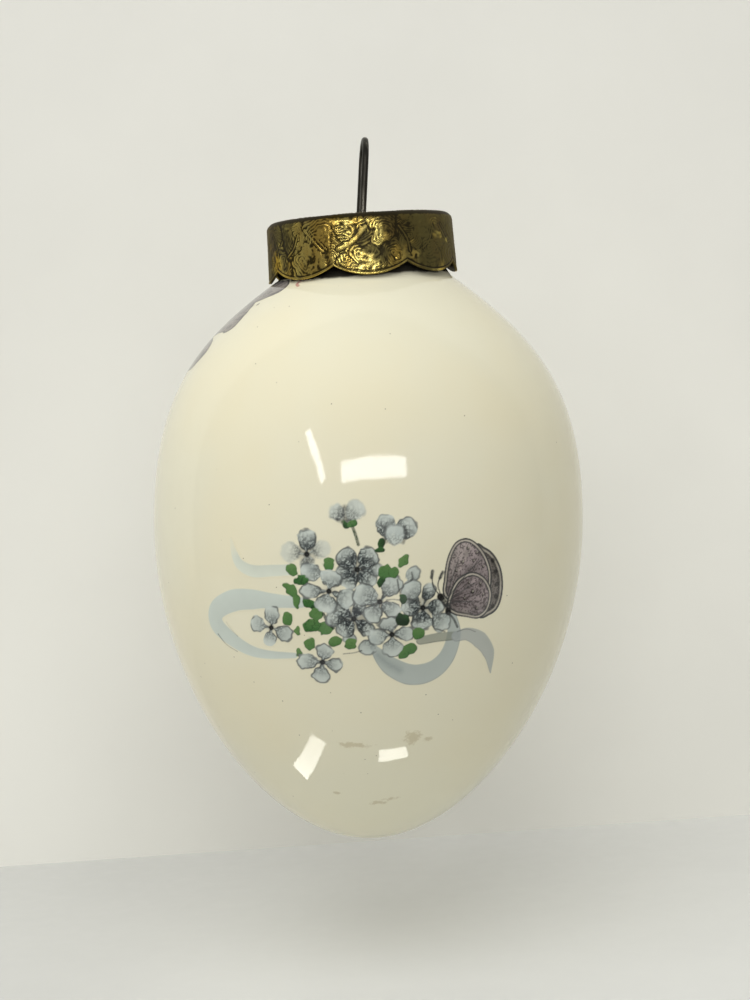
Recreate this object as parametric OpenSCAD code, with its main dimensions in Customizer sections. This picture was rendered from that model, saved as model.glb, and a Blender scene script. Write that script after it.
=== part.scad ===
// Hanging egg ornament: glazed ceramic egg, scalloped brass cap and wire hanger.
// Heights are measured up from the egg's tip. The whole part is then moved so that
// the origin is the point of the wire loop that a hook bears on.

/* [Egg] */
// Widest diameter of the egg
egg_width = 65.4; // [50:0.2:80]
// Height from the tip to the top of the shoulder
egg_height = 88; // [70:0.5:110]
// Height of the widest circle above the tip
widest_height = 48.8; // [36:0.2:60]
// How blunt the tip is
tip_fullness = 15.6; // [8:0.2:22]
// How full the flank is below the widest circle
lower_fullness = 25.8; // [15:0.2:35]
// How full the flank is above the widest circle
upper_fullness = 22.2; // [12:0.2:30]
// How far out the shoulder's slope is carried
shoulder_run = 14; // [8:0.5:18]
// How far the shoulder's slope falls over that run
shoulder_drop = 9.9; // [5:0.1:14]
// Thickness of the fired clay
wall = 3; // [2:0.1:5]

/* [Neck] */
// Outside diameter of the neck
neck_width = 22; // [18:0.5:24]
// Diameter of the bore through the neck
bore_width = 16.5; // [12:0.5:19]
// Height of the neck's rim above the tip
rim_height = 93.5; // [90:0.1:96]
// Radius of the hollow corner between neck and shoulder
neck_fillet = 1.2; // [0.5:0.1:2]
// Radius of the rounded rim
rim_round = 1; // [0.4:0.1:1.3]

/* [Cap] */
// Outside diameter at the top corner
cap_top_width = 28.1; // [26:0.1:30]
// Outside diameter at the scallops
cap_skirt_width = 28.6; // [26:0.1:31]
// Height from the scallop tips to the top
cap_height = 9.1; // [7:0.1:12]
// Brass sheet thickness
cap_sheet = 0.4; // [0.3:0.05:0.8]
// Radius of the rolled top corner
cap_corner = 1.3; // [0.8:0.1:2]
// Number of scallops round the skirt
scallops = 8; // [6:1:12]
// Depth of the notches between scallops
scallop_depth = 1.6; // [0.8:0.05:3]
// Turn of the scallops about the cap's axis
scallop_turn = 5.5; // [0:0.5:45]
// Height of the cap's top above the tip
cap_top_height = 94.9; // [94:0.1:97]
// Sideways set of the cap's top on the neck
cap_offset = -1.45; // [-2:0.05:2]
// Lean of the cap on the neck
cap_lean = -4.05; // [-6:0.05:6]

/* [Hanger] */
// Wire diameter
wire_width = 1; // [0.8:0.05:1.4]
// Height of the loop's crown above the slots, on the wire's centre line
loop_height = 11.8; // [9:0.1:16]
// Distance between the loop's two legs
loop_span = 6.8; // [6:0.1:9]
// Sideways place of the wire in the cap
wire_place = -1.12; // [-2:0.02:2]
// Lean of the loop, away from the egg's axis
wire_lean = 2.7; // [-6:0.1:6]
// Turn of the loop about its own upright
wire_turn = 4.5; // [-15:0.5:15]
// Outward bend of the legs below the cap
leg_splay = 50; // [30:1:65]
// Inward bend of the legs' tails
tail_tuck = 12; // [4:1:20]
// Half the spread of the knees that bear on the bore
knee_reach = 7.45; // [5:0.05:7.5]
// Length of each tail
tail_length = 7.8; // [5:0.1:12]
// Width of the slots along the loop
slot_width = 1.3; // [1.2:0.1:2]
// Length of the slots across the loop
slot_length = 3; // [2:0.1:4]

/* [Decals] */
// Thickness of the fired print
ink = 0.15; // [0.1:0.01:0.3]

/* [Hidden] */
$fn = 64;
neck_radius = neck_width / 2;
bore_radius = bore_width / 2;
cap_radius = cap_top_width / 2;
skirt_radius = cap_skirt_width / 2;
wire_radius = wire_width / 2;
slot_height = cap_top_height - cap_sheet / 2;
arch_radius = loop_span / 2;
bearing = loop_height - wire_radius;
eye = [
  wire_place + bearing * sin(wire_lean) * cos(wire_turn),
  bearing * sin(wire_lean) * sin(wire_turn),
  slot_height + bearing * cos(wire_lean)
];
bend = 1.6;
knee_bend = 2;

lower = [
  [0, 0],
  [tip_fullness, 0],
  [egg_width / 2, widest_height - lower_fullness],
  [egg_width / 2, widest_height]
];
shoulder_end = 10;
upper = [
  [egg_width / 2, widest_height],
  [egg_width / 2, widest_height + upper_fullness],
  [shoulder_end + shoulder_run, egg_height - shoulder_drop],
  [shoulder_end, egg_height]
];

function curve(c, t) =
  pow(1 - t, 3) * c[0] + 3 * pow(1 - t, 2) * t * c[1]
  + 3 * (1 - t) * t * t * c[2] + pow(t, 3) * c[3];
function slope(c, t) =
  3 * pow(1 - t, 2) * (c[1] - c[0]) + 6 * (1 - t) * t * (c[2] - c[1])
  + 3 * t * t * (c[3] - c[2]);
function side(c, t) = [slope(c, t)[1], -slope(c, t)[0]] / norm(slope(c, t));
function skin(c, t, d) = curve(c, t) + d * side(c, t);

// The egg's outline moved out by d, from the tip to the shoulder.
function outline(d, first, last) = concat(
  [for (i = [first : 18]) skin(lower, i / 18, d)],
  [for (i = [1 : last]) skin(upper, i / 20, d)]
);

module to_eye() {
  translate(-eye) children();
}

// The solid of revolution inside the outline moved out by d.
module egg_body(d) {
  rotate_extrude(angle = 360)
    polygon(concat(
      outline(d, 0, 20),
      [[0, egg_height + d]]
    ));
}

module neck_profile() {
  foot = 3;
  difference() {
    translate([0, egg_height - foot])
      square([neck_radius + neck_fillet, rim_height - egg_height + foot - rim_round]);
    translate([neck_radius + neck_fillet, egg_height + 0.55 + neck_fillet])
      circle(r = neck_fillet);
    translate([neck_radius, egg_height + 0.55 + neck_fillet])
      square([2 * neck_fillet, rim_height]);
  }
  translate([0, rim_height - rim_round])
    square([neck_radius - rim_round, rim_round]);
  translate([neck_radius - rim_round, rim_height - rim_round])
    circle(r = rim_round);
}

module shell_solid() {
  difference() {
    union() {
      egg_body(0);
      rotate_extrude(angle = 360) neck_profile();
    }
    // hollow of the egg
    rotate_extrude(angle = 360)
      polygon(concat(
        [[0, wall]],
        outline(-wall, 1, 20),
        [[0, skin(upper, 1, -wall)[1]]]
      ));
    // bore of the neck
    translate([0, 0, egg_height - 14])
      cylinder(r = bore_radius, h = 40);
    // eased mouth
    translate([0, 0, rim_height - 0.5])
      cylinder(r1 = bore_radius, r2 = bore_radius + 1, h = 1);
  }
}

module egg_shell() {
  color([0.93, 0.9, 0.8]) to_eye() shell_solid();
}

// A band of glaze skin between two heights, thick enough to carry a print.
module print_skin(low, high, from, sweep) {
  rotate([0, 0, from])
    rotate_extrude(angle = sweep)
      polygon(concat(
        [for (i = [low : high]) band_point(i, 0.01)],
        [for (i = [high : -1 : low]) band_point(i, ink)]
      ));
}
function band_point(i, d) =
  i <= 18 ? skin(lower, i / 18, d) : skin(upper, (i - 18) / 20, d);

module disc(x, z, r) {
  translate([x, z]) circle(r = r);
}

module oval(x, z, rx, rz) {
  polygon([
    for (i = [0.5 : 23.5]) [x + rx * cos(i * 15), z + rz * sin(i * 15)]
  ]);
}

module bouquet_outline() {
  // flower heads
  disc(-8.5, 47, 2.7);
  disc(-1.5, 44.6, 3.3);
  disc(-5.4, 41.4, 3);
  disc(1.7, 40.1, 3);
  disc(-1.9, 37.7, 3.2);
  disc(7.6, 39.4, 3);
  disc(3.2, 35.2, 3);
  disc(-13.5, 36.1, 3);
  disc(-6.4, 31.3, 2.8);
  // buds and their stem
  disc(-3, 52.2, 2.3);
  disc(4, 49.8, 2.7);
  translate([-2.1, 47]) square([0.9, 4]);
  // leaves between the heads
  disc(-10, 44.2, 1.5);
  disc(-9.6, 40.6, 1.8);
  disc(-7.6, 37.4, 2);
  disc(-8.6, 33.4, 1.4);
  disc(-3.5, 34.6, 1.4);
  disc(4.2, 44.8, 1.6);
  disc(5.4, 33, 1.3);
  disc(7, 35.6, 1.3);
  // ribbon loops and tails
  difference() {
    oval(-16.2, 36.4, 6.7, 5);
    oval(-14.9, 36.4, 5.3, 3.6);
  }
  polygon([
    [-19.8, 47.9], [-18.8, 47.6], [-17.4, 45.3], [-14.8, 44.6],
    [-11, 45.1], [-11, 43.7], [-16, 43], [-18.8, 44.6]
  ]);
  difference() {
    oval(7, 32.2, 5.9, 4.5);
    oval(6.6, 33.4, 4, 3.1);
  }
  polygon([
    [8, 35.4], [12, 36.2], [15.9, 35.9], [18.3, 32.6],
    [17.5, 28.9], [16.4, 32], [13.4, 33.8], [8, 33.9]
  ]);
  // butterfly
  oval(14.3, 45, 3.7, 3.9);
  oval(14.6, 40.6, 3.3, 3.4);
  oval(16.8, 43, 1.9, 4.7);
  oval(10.9, 39.9, 0.8, 1.9);
}

module front_decal() {
  color([0.55, 0.62, 0.72]) to_eye()
    intersection() {
      print_skin(12, 21, 222, 92);
      rotate([90, 0, 0]) linear_extrude(60) bouquet_outline();
    }
}

module wings_outline() {
  // near wings
  oval(-4.4, 82.6, 5.9, 2.4);
  oval(-3.8, 79.2, 5.9, 2.3);
  oval(-3.8, 74.2, 5.8, 2.7);
  // body and far wings
  oval(1.4, 79, 1.4, 4.6);
  oval(6, 81.4, 4.6, 2.9);
  oval(5.6, 76.6, 4.4, 3);
}

module side_decal() {
  color([0.6, 0.55, 0.68]) to_eye()
    intersection() {
      print_skin(24, 35, 130, 100);
      translate([-60, 0, 0])
        rotate([90, 0, 90]) linear_extrude(60) wings_outline();
    }
}

// The cap's sheet before the notches and slots are cut.
module cap_blank() {
  straight = cap_radius - cap_corner;
  translate([0, 0, -cap_sheet]) cylinder(r = straight, h = cap_sheet);
  // rolled corner
  rotate_extrude(angle = 360)
    translate([straight, -cap_corner])
      intersection() {
        difference() {
          circle(r = cap_corner);
          circle(r = cap_corner - cap_sheet);
        }
        square(cap_corner);
      }
  // flared skirt
  rotate_extrude(angle = 360)
    polygon([
      [cap_radius - cap_sheet, -cap_corner],
      [cap_radius, -cap_corner],
      [skirt_radius, -cap_height],
      [skirt_radius - cap_sheet, -cap_height]
    ]);
}

module cap_solid() {
  chord = skirt_radius * sin(180 / scallops);
  difference() {
    cap_blank();
    // notches between the scallops
    for (i = [0 : scallops - 1])
      rotate([0, 0, scallop_turn + (i + 0.5) * 360 / scallops])
        translate([0, 0, -cap_height])
          rotate([90, 0, 90])
            linear_extrude(40) notch(chord);
    // slots for the wire
    for (s = [-1, 1])
      rotate([0, 0, wire_turn])
        translate([0.17, s * arch_radius, -cap_sheet / 2])
          cube([slot_length, slot_width, 2], center = true);
  }
}

// The gap left between two neighbouring scallop arcs.
module notch(chord) {
  arc_radius = (pow(chord, 2) + pow(scallop_depth, 2)) / (2 * scallop_depth);
  half = chord - 0.3;
  difference() {
    translate([-half, -2]) square([2 * half, scallop_depth + 4]);
    for (s = [-1, 1])
      translate([s * chord, arc_radius - 0.02]) circle(r = arc_radius);
    translate([-20, scallop_depth]) square([40, 20]);
  }
}

module cap() {
  color([0.62, 0.5, 0.24]) to_eye()
    translate([cap_offset, 0, cap_top_height])
      rotate([0, cap_lean, 0])
        cap_solid();
}

module rod(length) {
  translate([0, 0, -length]) cylinder(r = wire_radius, h = length);
}

// A bend that starts straight down and turns outward by the sweep.
module elbow(radius, start, sweep) {
  rotate([90, 0, 90])
    translate([-radius, 0, 0])
      rotate([0, 0, start])
        rotate_extrude(angle = sweep)
          translate([radius, 0]) circle(r = wire_radius);
}

module leg() {
  slant = (knee_reach - knee_bend + knee_bend * cos(leg_splay)
    - arch_radius - bend * (1 - cos(leg_splay))) / sin(leg_splay);
  elbow_y = arch_radius + bend * (1 - cos(leg_splay));
  elbow_z = -0.6 - bend * sin(leg_splay);
  knee_z = elbow_z - slant * cos(leg_splay) - knee_bend * sin(leg_splay);
  translate([0, arch_radius, loop_height - arch_radius])
    rod(loop_height - arch_radius + 0.6);
  translate([0, arch_radius + 2 * bend, -0.6])
    elbow(bend, 180, leg_splay);
  translate([0, elbow_y, elbow_z]) rotate([leg_splay, 0, 0]) rod(slant);
  translate([0, knee_reach, knee_z])
    elbow(knee_bend, -tail_tuck, leg_splay + tail_tuck);
  translate([
    0,
    knee_reach - knee_bend + knee_bend * cos(tail_tuck),
    knee_z - knee_bend * sin(tail_tuck)
  ])
    rotate([-tail_tuck, 0, 0]) {
      rod(tail_length);
      translate([0, 0, -tail_length]) sphere(r = wire_radius);
    }
}

module hanger() {
  color([0.25, 0.25, 0.27]) to_eye()
    translate([wire_place, 0, slot_height])
      rotate([0, 0, wire_turn])
        rotate([0, wire_lean, 0]) {
          leg();
          mirror([0, 1, 0]) leg();
          translate([0, 0, loop_height - arch_radius])
            translate([0, arch_radius, 0])
              elbow(arch_radius, 0, 180);
        }
}

egg_shell();
front_decal();
side_decal();
cap();
hanger();
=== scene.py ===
import math

import bpy
import numpy as np
from mathutils import Matrix, Quaternion, Vector


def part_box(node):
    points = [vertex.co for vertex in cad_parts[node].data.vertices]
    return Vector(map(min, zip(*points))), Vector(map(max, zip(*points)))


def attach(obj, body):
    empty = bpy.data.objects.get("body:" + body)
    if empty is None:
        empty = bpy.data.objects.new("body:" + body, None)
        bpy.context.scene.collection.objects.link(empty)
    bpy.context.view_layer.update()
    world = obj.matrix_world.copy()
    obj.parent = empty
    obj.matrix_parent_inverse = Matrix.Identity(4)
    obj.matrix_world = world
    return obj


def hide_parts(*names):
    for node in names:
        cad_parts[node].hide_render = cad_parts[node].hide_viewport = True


# A hanging ceramic egg: a glazed shell with two fired prints, an embossed brass cap and a
# spring wire, built round the frame's CAD bodies.

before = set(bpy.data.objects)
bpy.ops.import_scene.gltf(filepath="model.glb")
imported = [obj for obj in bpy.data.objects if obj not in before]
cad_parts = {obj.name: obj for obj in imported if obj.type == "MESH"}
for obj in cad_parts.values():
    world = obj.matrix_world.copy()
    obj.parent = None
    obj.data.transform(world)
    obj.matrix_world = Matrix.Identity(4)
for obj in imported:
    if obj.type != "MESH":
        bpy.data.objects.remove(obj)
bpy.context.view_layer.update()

MM = 0.001

# ---------------------------------------------------------------- dimensions
# Millimetres, measured as in part.scad: out from the egg's axis and up from its tip.
WIDEST_RADIUS = 32.7
WIDEST_HEIGHT = 48.8
LOWER_CURVE = np.array([(0, 0), (15.6, 0), (WIDEST_RADIUS, 23.0), (WIDEST_RADIUS, WIDEST_HEIGHT)])
UPPER_CURVE = np.array([
    (WIDEST_RADIUS, WIDEST_HEIGHT), (WIDEST_RADIUS, 71.0), (24.0, 78.1), (10.0, 88.0),
])
# How far along the upper curve the neck's fillet starts, and the cavity meets the bore.
FILLET_START = 0.93
BORE_MEETS = 0.985
# The fillet's handles: how it leaves the shoulder, and how far below the neck's foot it turns.
FILLET_LEAVES = (-0.9, 0.65)
FILLET_TURNS = 1.2
EGG_COLUMNS = 240
WALL = 3.0
NECK_RADIUS = 11.0
NECK_FOOT = 89.8
GLAZE_END = 90.0
BORE_RADIUS = 8.25
BORE_FOOT = 86.4
RIM_HEIGHT = 93.5
RIM_ROUND = 1.0
MOUTH_EASE = 1.0

CAP_CENTRE = (-1.45, 0.0, 94.9)
CAP_LEAN = math.radians(-4.05)
CAP_TOP_RADIUS = 14.05
CAP_SKIRT_RADIUS = 14.3
CAP_HEIGHT = 9.1
CAP_SHEET = 0.4
CAP_CORNER = 1.3
SCALLOPS = 8
SCALLOP_DEPTH = 1.6
SCALLOP_TURN = math.radians(5.5)
SLOT_LENGTH = 3.0
SLOT_WIDTH = 1.3
SLOT_SHIFT = 0.17
SLOT_CUT = (-1.2, 0.8)

WIRE_HINGE = (-1.12, 0.0, 94.7)
WIRE_TURN = math.radians(4.5)
WIRE_LEAN = math.radians(2.7)
WIRE_RADIUS = 0.5
WIRE_SIDES = 24
ARCH_RADIUS = 3.4
LOOP_HEIGHT = 11.8
ELBOW_RADIUS = 1.6
LEG_DROP = 0.6
LEG_SPLAY = math.radians(50)
KNEE_RADIUS = 2.0
KNEE_REACH = 7.45
TAIL_TUCK = math.radians(12)
TAIL_LENGTH = 7.8

shell_low, shell_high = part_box("egg_shell")
TIP = np.array([
    (shell_low.x + shell_high.x) / 2,
    (shell_low.y + shell_high.y) / 2,
    shell_low.z,
])


def placed(points):
    """Points in millimetres from the tip, as metres in the frame."""
    return TIP + np.asarray(points, float) * MM


# ---------------------------------------------------------------- curves
def bezier(control, t):
    t = np.asarray(t, float)[:, None]
    weights = ((1 - t) ** 3, 3 * (1 - t) ** 2 * t, 3 * (1 - t) * t**2, t**3)
    return sum(w * p for w, p in zip(weights, control))


OUTLINE = np.vstack([
    bezier(LOWER_CURVE, np.linspace(0, 1, 400)),
    bezier(UPPER_CURVE, np.linspace(0, 1, 400))[1:],
])
STEPS = np.diff(OUTLINE, axis=0)
ARC = np.concatenate([[0], np.cumsum(np.hypot(STEPS[:, 0], STEPS[:, 1]))])
ARC = ARC - np.interp(WIDEST_HEIGHT, OUTLINE[:, 1], ARC)
SLOPE = np.gradient(OUTLINE, ARC, axis=0)


def on_glaze(across, up, turn=0.0, lift=0.0):
    """Points of the glaze from arc lengths in millimetres: across from the direction
    turn, and up from the widest circle."""
    radius = np.interp(up, ARC, OUTLINE[:, 0])
    height = np.interp(up, ARC, OUTLINE[:, 1])
    out = np.interp(up, ARC, SLOPE[:, 1])
    rise = -np.interp(up, ARC, SLOPE[:, 0])
    angle = turn + across / radius
    reach = radius + lift * out
    return np.stack(
        [reach * np.sin(angle), -reach * np.cos(angle), height + lift * rise], axis=-1
    )


def smooth_line(points, closed=False, steps=8):
    """A Catmull-Rom curve through the points."""
    points = np.asarray(points, float)
    if closed:
        points = np.vstack([points[-1:], points, points[:2]])
    else:
        first = 2 * points[:1] - points[1:2]
        last = 2 * points[-1:] - points[-2:-1]
        points = np.vstack([first, points, last])
    made = []
    for a, b, c, d in zip(points, points[1:], points[2:], points[3:]):
        for t in np.arange(steps) / steps:
            made.append(0.5 * (
                2 * b + (c - a) * t
                + (2 * a - 5 * b + 4 * c - d) * t**2
                + (3 * b - a - 3 * c + d) * t**3
            ))
    if not closed:
        made.append(points[-2])
    return np.array(made)


def nearest_on(line, x, y):
    """Distance to a line of points, how far along it that is from 0 to 1, and which
    side: +1 to the left of its direction."""
    best = np.full(x.shape, 1e9)
    along = np.zeros(x.shape)
    side = np.ones(x.shape)
    count = len(line) - 1
    for i in range(count):
        start, step = line[i], line[i + 1] - line[i]
        t = ((x - start[0]) * step[0] + (y - start[1]) * step[1]) / (step @ step + 1e-12)
        t = np.clip(t, 0, 1)
        dx = x - start[0] - t * step[0]
        dy = y - start[1] - t * step[1]
        distance = np.hypot(dx, dy)
        closer = distance < best
        best = np.where(closer, distance, best)
        along = np.where(closer, (i + t) / count, along)
        side = np.where(closer, np.sign(step[0] * dy - step[1] * dx), side)
    return best, along, side


def inside_of(line, x, y):
    """True where a point lies inside a closed line."""
    inside = np.zeros(x.shape, bool)
    for a, b in zip(line, np.roll(line, -1, axis=0)):
        crosses = (a[1] > y) != (b[1] > y)
        at = a[0] + (y - a[1]) * (b[0] - a[0]) / (b[1] - a[1] + 1e-12)
        inside ^= crosses & (x < at)
    return inside


def ramp(value, low, high):
    """Smooth step from 0 at low to 1 at high."""
    t = np.clip((value - low) / (high - low), 0, 1)
    return t * t * (3 - 2 * t)


def grain(x, y, size, seed):
    """Smooth noise from 0 to 1, with blobs of about this size."""
    table = np.random.default_rng(seed).random((256, 256))
    column, row = np.floor(x / size).astype(int), np.floor(y / size).astype(int)
    fx, fy = ramp(x / size - column, 0, 1), ramp(y / size - row, 0, 1)
    low = table[row % 256, column % 256] * (1 - fx) + table[row % 256, (column + 1) % 256] * fx
    row = row + 1
    high = table[row % 256, column % 256] * (1 - fx) + table[row % 256, (column + 1) % 256] * fx
    return low * (1 - fy) + high * fy


def linear(red, green, blue):
    """A colour named by its usual 0 to 255 values, as Blender's linear light."""
    share = np.array([red, green, blue]) / 255
    return np.where(share <= 0.04045, share / 12.92, ((share + 0.055) / 1.055) ** 2.4)


# ---------------------------------------------------------------- meshes
def new_piece(name, points, faces, body):
    """A smooth mesh that rides on a CAD body."""
    mesh = bpy.data.meshes.new(name)
    mesh.from_pydata(np.asarray(points, float).tolist(), [], faces)
    mesh.validate()
    mesh.shade_smooth()
    piece = bpy.data.objects.new(name, mesh)
    bpy.context.scene.collection.objects.link(piece)
    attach(piece, body)
    return piece


def closed_faces(rows, columns):
    """Faces of a sleeve of rings that face outward where it climbs, and of the fans that
    close it. The fans' middles come after the rings: the first ring's, then the last's."""
    i, j = np.meshgrid(np.arange(rows - 1), np.arange(columns), indexing="ij")
    here = i * columns + j
    beside = i * columns + (j + 1) % columns
    faces = np.stack([here, beside, beside + columns, here + columns], -1)
    faces = faces.reshape(-1, 4).tolist()
    start, end, last = rows * columns, rows * columns + 1, (rows - 1) * columns
    for j in range(columns):
        k = (j + 1) % columns
        faces += [(start, k, j), (end, last + j, last + k)]
    return faces


def turned(profile, columns):
    """Points and faces of a closed turned shape. The profile starts and ends on the axis."""
    rings = np.asarray(profile[1:-1])
    angle = 2 * math.pi * np.arange(columns) / columns
    points = np.stack([
        rings[:, :1] * np.cos(angle),
        rings[:, :1] * np.sin(angle),
        rings[:, 1:] + 0 * angle,
    ], -1).reshape(-1, 3)
    points = np.vstack([points, (0, 0, profile[0][1]), (0, 0, profile[-1][1])])
    return points, closed_faces(len(rings), columns)


def add_attribute(piece, name, values):
    """A number or a colour for each vertex."""
    values = np.asarray(values, np.float32)
    mesh = piece.data
    if values.ndim == 1:
        mesh.attributes.new(name, "FLOAT", "POINT").data.foreach_set("value", values)
    else:
        mesh.color_attributes.new(name, "FLOAT_COLOR", "POINT").data.foreach_set(
            "color", values.reshape(-1)
        )


# ---------------------------------------------------------------- shader tools
class Shader:
    """A node material with one Principled surface."""

    def __init__(self, name, **constants):
        self.material = bpy.data.materials.new(name)
        self.material.use_nodes = True
        self.tree = self.material.node_tree
        self.surface = self.tree.nodes["Principled BSDF"]
        for key, value in constants.items():
            self.surface.inputs[key.replace("_", " ")].default_value = value

    def add(self, kind, inputs=None, **settings):
        node = self.tree.nodes.new("ShaderNode" + kind)
        for key, value in settings.items():
            setattr(node, key, value)
        for key, value in (inputs or {}).items():
            self.set(node.inputs[key], value)
        return node

    def set(self, socket, value):
        if isinstance(value, bpy.types.NodeSocket):
            self.tree.links.new(value, socket)
        else:
            socket.default_value = value

    def drive(self, name, value):
        """Gives an input of the surface a link or a constant."""
        self.set(self.surface.inputs[name], value)

    def position(self):
        return self.add("TexCoord").outputs["Object"]

    def noise(self, scale, detail=2.0, roughness=0.5, stretch=None):
        """Noise from 0 to 1 through the solid. Scale is in blobs to a metre."""
        where = self.position()
        if stretch:
            where = self.add(
                "Mapping", {"Vector": where, "Scale": stretch}
            ).outputs["Vector"]
        return self.add("TexNoise", {
            "Vector": where, "Scale": scale, "Detail": detail, "Roughness": roughness,
        }).outputs["Fac"]

    def spread(self, value, low, high, to_low=0.0, to_high=1.0):
        """Smooth step from to_low at low to to_high at high."""
        return self.add("MapRange", {
            "Value": value, "From Min": low, "From Max": high,
            "To Min": to_low, "To Max": to_high,
        }, interpolation_type="SMOOTHSTEP").outputs["Result"]

    def math(self, operation, a, b):
        return self.add("Math", {0: a, 1: b}, operation=operation).outputs[0]

    def times(self, a, b):
        return self.math("MULTIPLY", a, b)

    def vector(self, operation, a, b=(0, 0, 0), output="Vector"):
        return self.add("VectorMath", {0: a, 1: b}, operation=operation).outputs[output]

    def mix(self, factor, a, b, blend="MIX"):
        node = self.add("Mix", data_type="RGBA", blend_type=blend)
        colours = [s for s in node.inputs if s.type == "RGBA"]
        self.set(node.inputs[0], factor)
        self.set(colours[0], a)
        self.set(colours[1], b)
        return [s for s in node.outputs if s.type == "RGBA"][0]

    def attribute(self, name, output="Fac"):
        return self.add("Attribute", attribute_name=name).outputs[output]

    def bump(self, height, strength, distance, normal=None):
        node = self.add("Bump", {
            "Height": height, "Strength": strength, "Distance": distance,
        })
        if normal is not None:
            self.set(node.inputs["Normal"], normal)
        return node.outputs["Normal"]


def rgba(colour):
    """A linear colour as a socket takes it."""
    return (*[float(c) for c in colour], 1.0)


# ---------------------------------------------------------------- glaze
CREAM = linear(227, 223, 198)
CREAM_WARM = linear(228, 221, 191)
BISQUE = linear(226, 221, 206)
SPECK = linear(92, 78, 58)
SMUDGE = linear(168, 150, 104)
# The colour of the painted shade under the cap's skirt.
UNDER_CAP_SHADE = linear(24, 21, 17)

SPECK_COVER = 0.7
SMUDGE_COVER = 0.42
# The painted shade under the cap, a dark ring on the glaze, in millimetres above the skirt's
# lowest points: where it fades in, and where it fades out.
UNDER_CAP_SHADE_IN = (-0.25, 0.15)
UNDER_CAP_SHADE_OUT = (3.4, 2.6)

# Faint brown smudges near the tip: across, up, half length, half height.
SMUDGES = [
    (-2.2, -31.5, 3.2, 0.55),
    (6.4, -30.3, 1.3, 1.3),
    (8.6, -30.6, 1.0, 0.5),
    (1.4, -43.8, 1.3, 0.5),
    (3.4, -42.9, 1.5, 0.4),
    (-4.6, -41.6, 0.7, 0.3),
]


def smudge_cover(shader, ragged, across, up, half_length, half_height):
    """Cover of one faint smudge: a soft oval on the glaze with a ragged edge."""
    centre = placed(on_glaze(np.array(across), np.array(up)))
    scale = 1 / (np.array([half_length, half_height, half_height]) * MM)
    offset = shader.vector("SUBTRACT", shader.position(), tuple(centre))
    offset = shader.vector("MULTIPLY", offset, tuple(scale))
    away = shader.vector("LENGTH", offset, output="Value")
    return shader.spread(shader.math("ADD", away, ragged), 1.15, 0.35, 0.0, SMUDGE_COVER)


def glaze_colour(shader):
    """Cream with slow drifts, fine iron specks and a few smudges."""
    drift = shader.spread(shader.noise(38.0, 3.0), 0.3, 0.7)
    colour = shader.mix(drift, rgba(CREAM), rgba(CREAM_WARM))
    cells = shader.add("TexVoronoi", {
        "Vector": shader.position(), "Scale": 480.0, "Randomness": 1.0,
    })
    chosen = shader.spread(cells.outputs["Color"], 0.50, 0.52)
    near = shader.spread(cells.outputs["Distance"], 0.055, 0.03)
    speck = shader.times(shader.times(chosen, near), SPECK_COVER)
    colour = shader.mix(speck, colour, rgba(SPECK))
    ragged = shader.spread(shader.noise(1100.0, 4.0, 0.6), 0.3, 0.7, -0.45, 0.45)
    for smudge in SMUDGES:
        colour = shader.mix(smudge_cover(shader, ragged, *smudge), colour, rgba(SMUDGE))
    return colour


def glaze_surface(shader):
    """The slow swell of a thick glaze, and its faintly uneven gloss."""
    swell = shader.noise(95.0, 1.0)
    ripple = shader.noise(420.0, 2.0)
    normal = shader.bump(swell, 0.10, 0.0010)
    normal = shader.bump(ripple, 0.10, 0.00012, normal)
    shader.drive("Normal", normal)
    shader.drive("Roughness", shader.spread(shader.noise(160.0), 0.3, 0.7, 0.045, 0.075))


def under_cap_shade_cover(shader):
    """Cover of the painted shade under the cap's skirt: a dark ring on the glaze where the gap
    under the skirt lies in shadow.
    """
    up = Matrix.Rotation(CAP_LEAN, 3, "Y") @ Vector((0, 0, 1))
    offset = shader.vector("SUBTRACT", shader.position(), tuple(placed(CAP_CENTRE)))
    height = shader.vector("DOT_PRODUCT", offset, tuple(up), "Value")
    waver = shader.spread(shader.noise(500.0, 2.0), 0.3, 0.7, -0.12 * MM, 0.12 * MM)
    height = shader.math("ADD", height, waver)
    lower = shader.spread(height, *[(edge - CAP_HEIGHT) * MM for edge in UNDER_CAP_SHADE_IN])
    upper = shader.spread(height, *[(edge - CAP_HEIGHT) * MM for edge in UNDER_CAP_SHADE_OUT])
    return shader.times(shader.times(lower, upper), 0.95)


def glaze_material():
    """The glaze, which ends on the neck in chalky bare clay."""
    shader = Shader("glaze_cream", IOR=1.5)
    colour = glaze_colour(shader)
    glaze_surface(shader)
    height = shader.add("SeparateXYZ", {0: shader.position()}).outputs["Z"]
    bare = shader.spread(
        height, TIP[2] + (GLAZE_END - 0.4) * MM, TIP[2] + (GLAZE_END + 0.4) * MM
    )
    chalk = shader.mix(shader.noise(900.0, 4.0), rgba(BISQUE), rgba(BISQUE * 0.82))
    colour = shader.mix(bare, colour, chalk)
    # Painted shade: a dark ring on the glaze under the cap's skirt.
    shader.drive("Base Color", shader.mix(under_cap_shade_cover(shader), colour, rgba(UNDER_CAP_SHADE)))
    gloss = shader.surface.inputs["Roughness"].links[0].from_socket
    shader.drive("Roughness", shader.math("MAXIMUM", gloss, shader.times(bare, 0.6)))
    return shader.material


def inset(control, t, depth):
    """A curve moved inward by a depth."""
    nudge = 1e-4
    ahead = bezier(control, t + nudge) - bezier(control, t - nudge)
    ahead = ahead / np.hypot(ahead[:, :1], ahead[:, 1:])
    return bezier(control, t) - depth * np.stack([ahead[:, 1], -ahead[:, 0]], -1)


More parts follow.
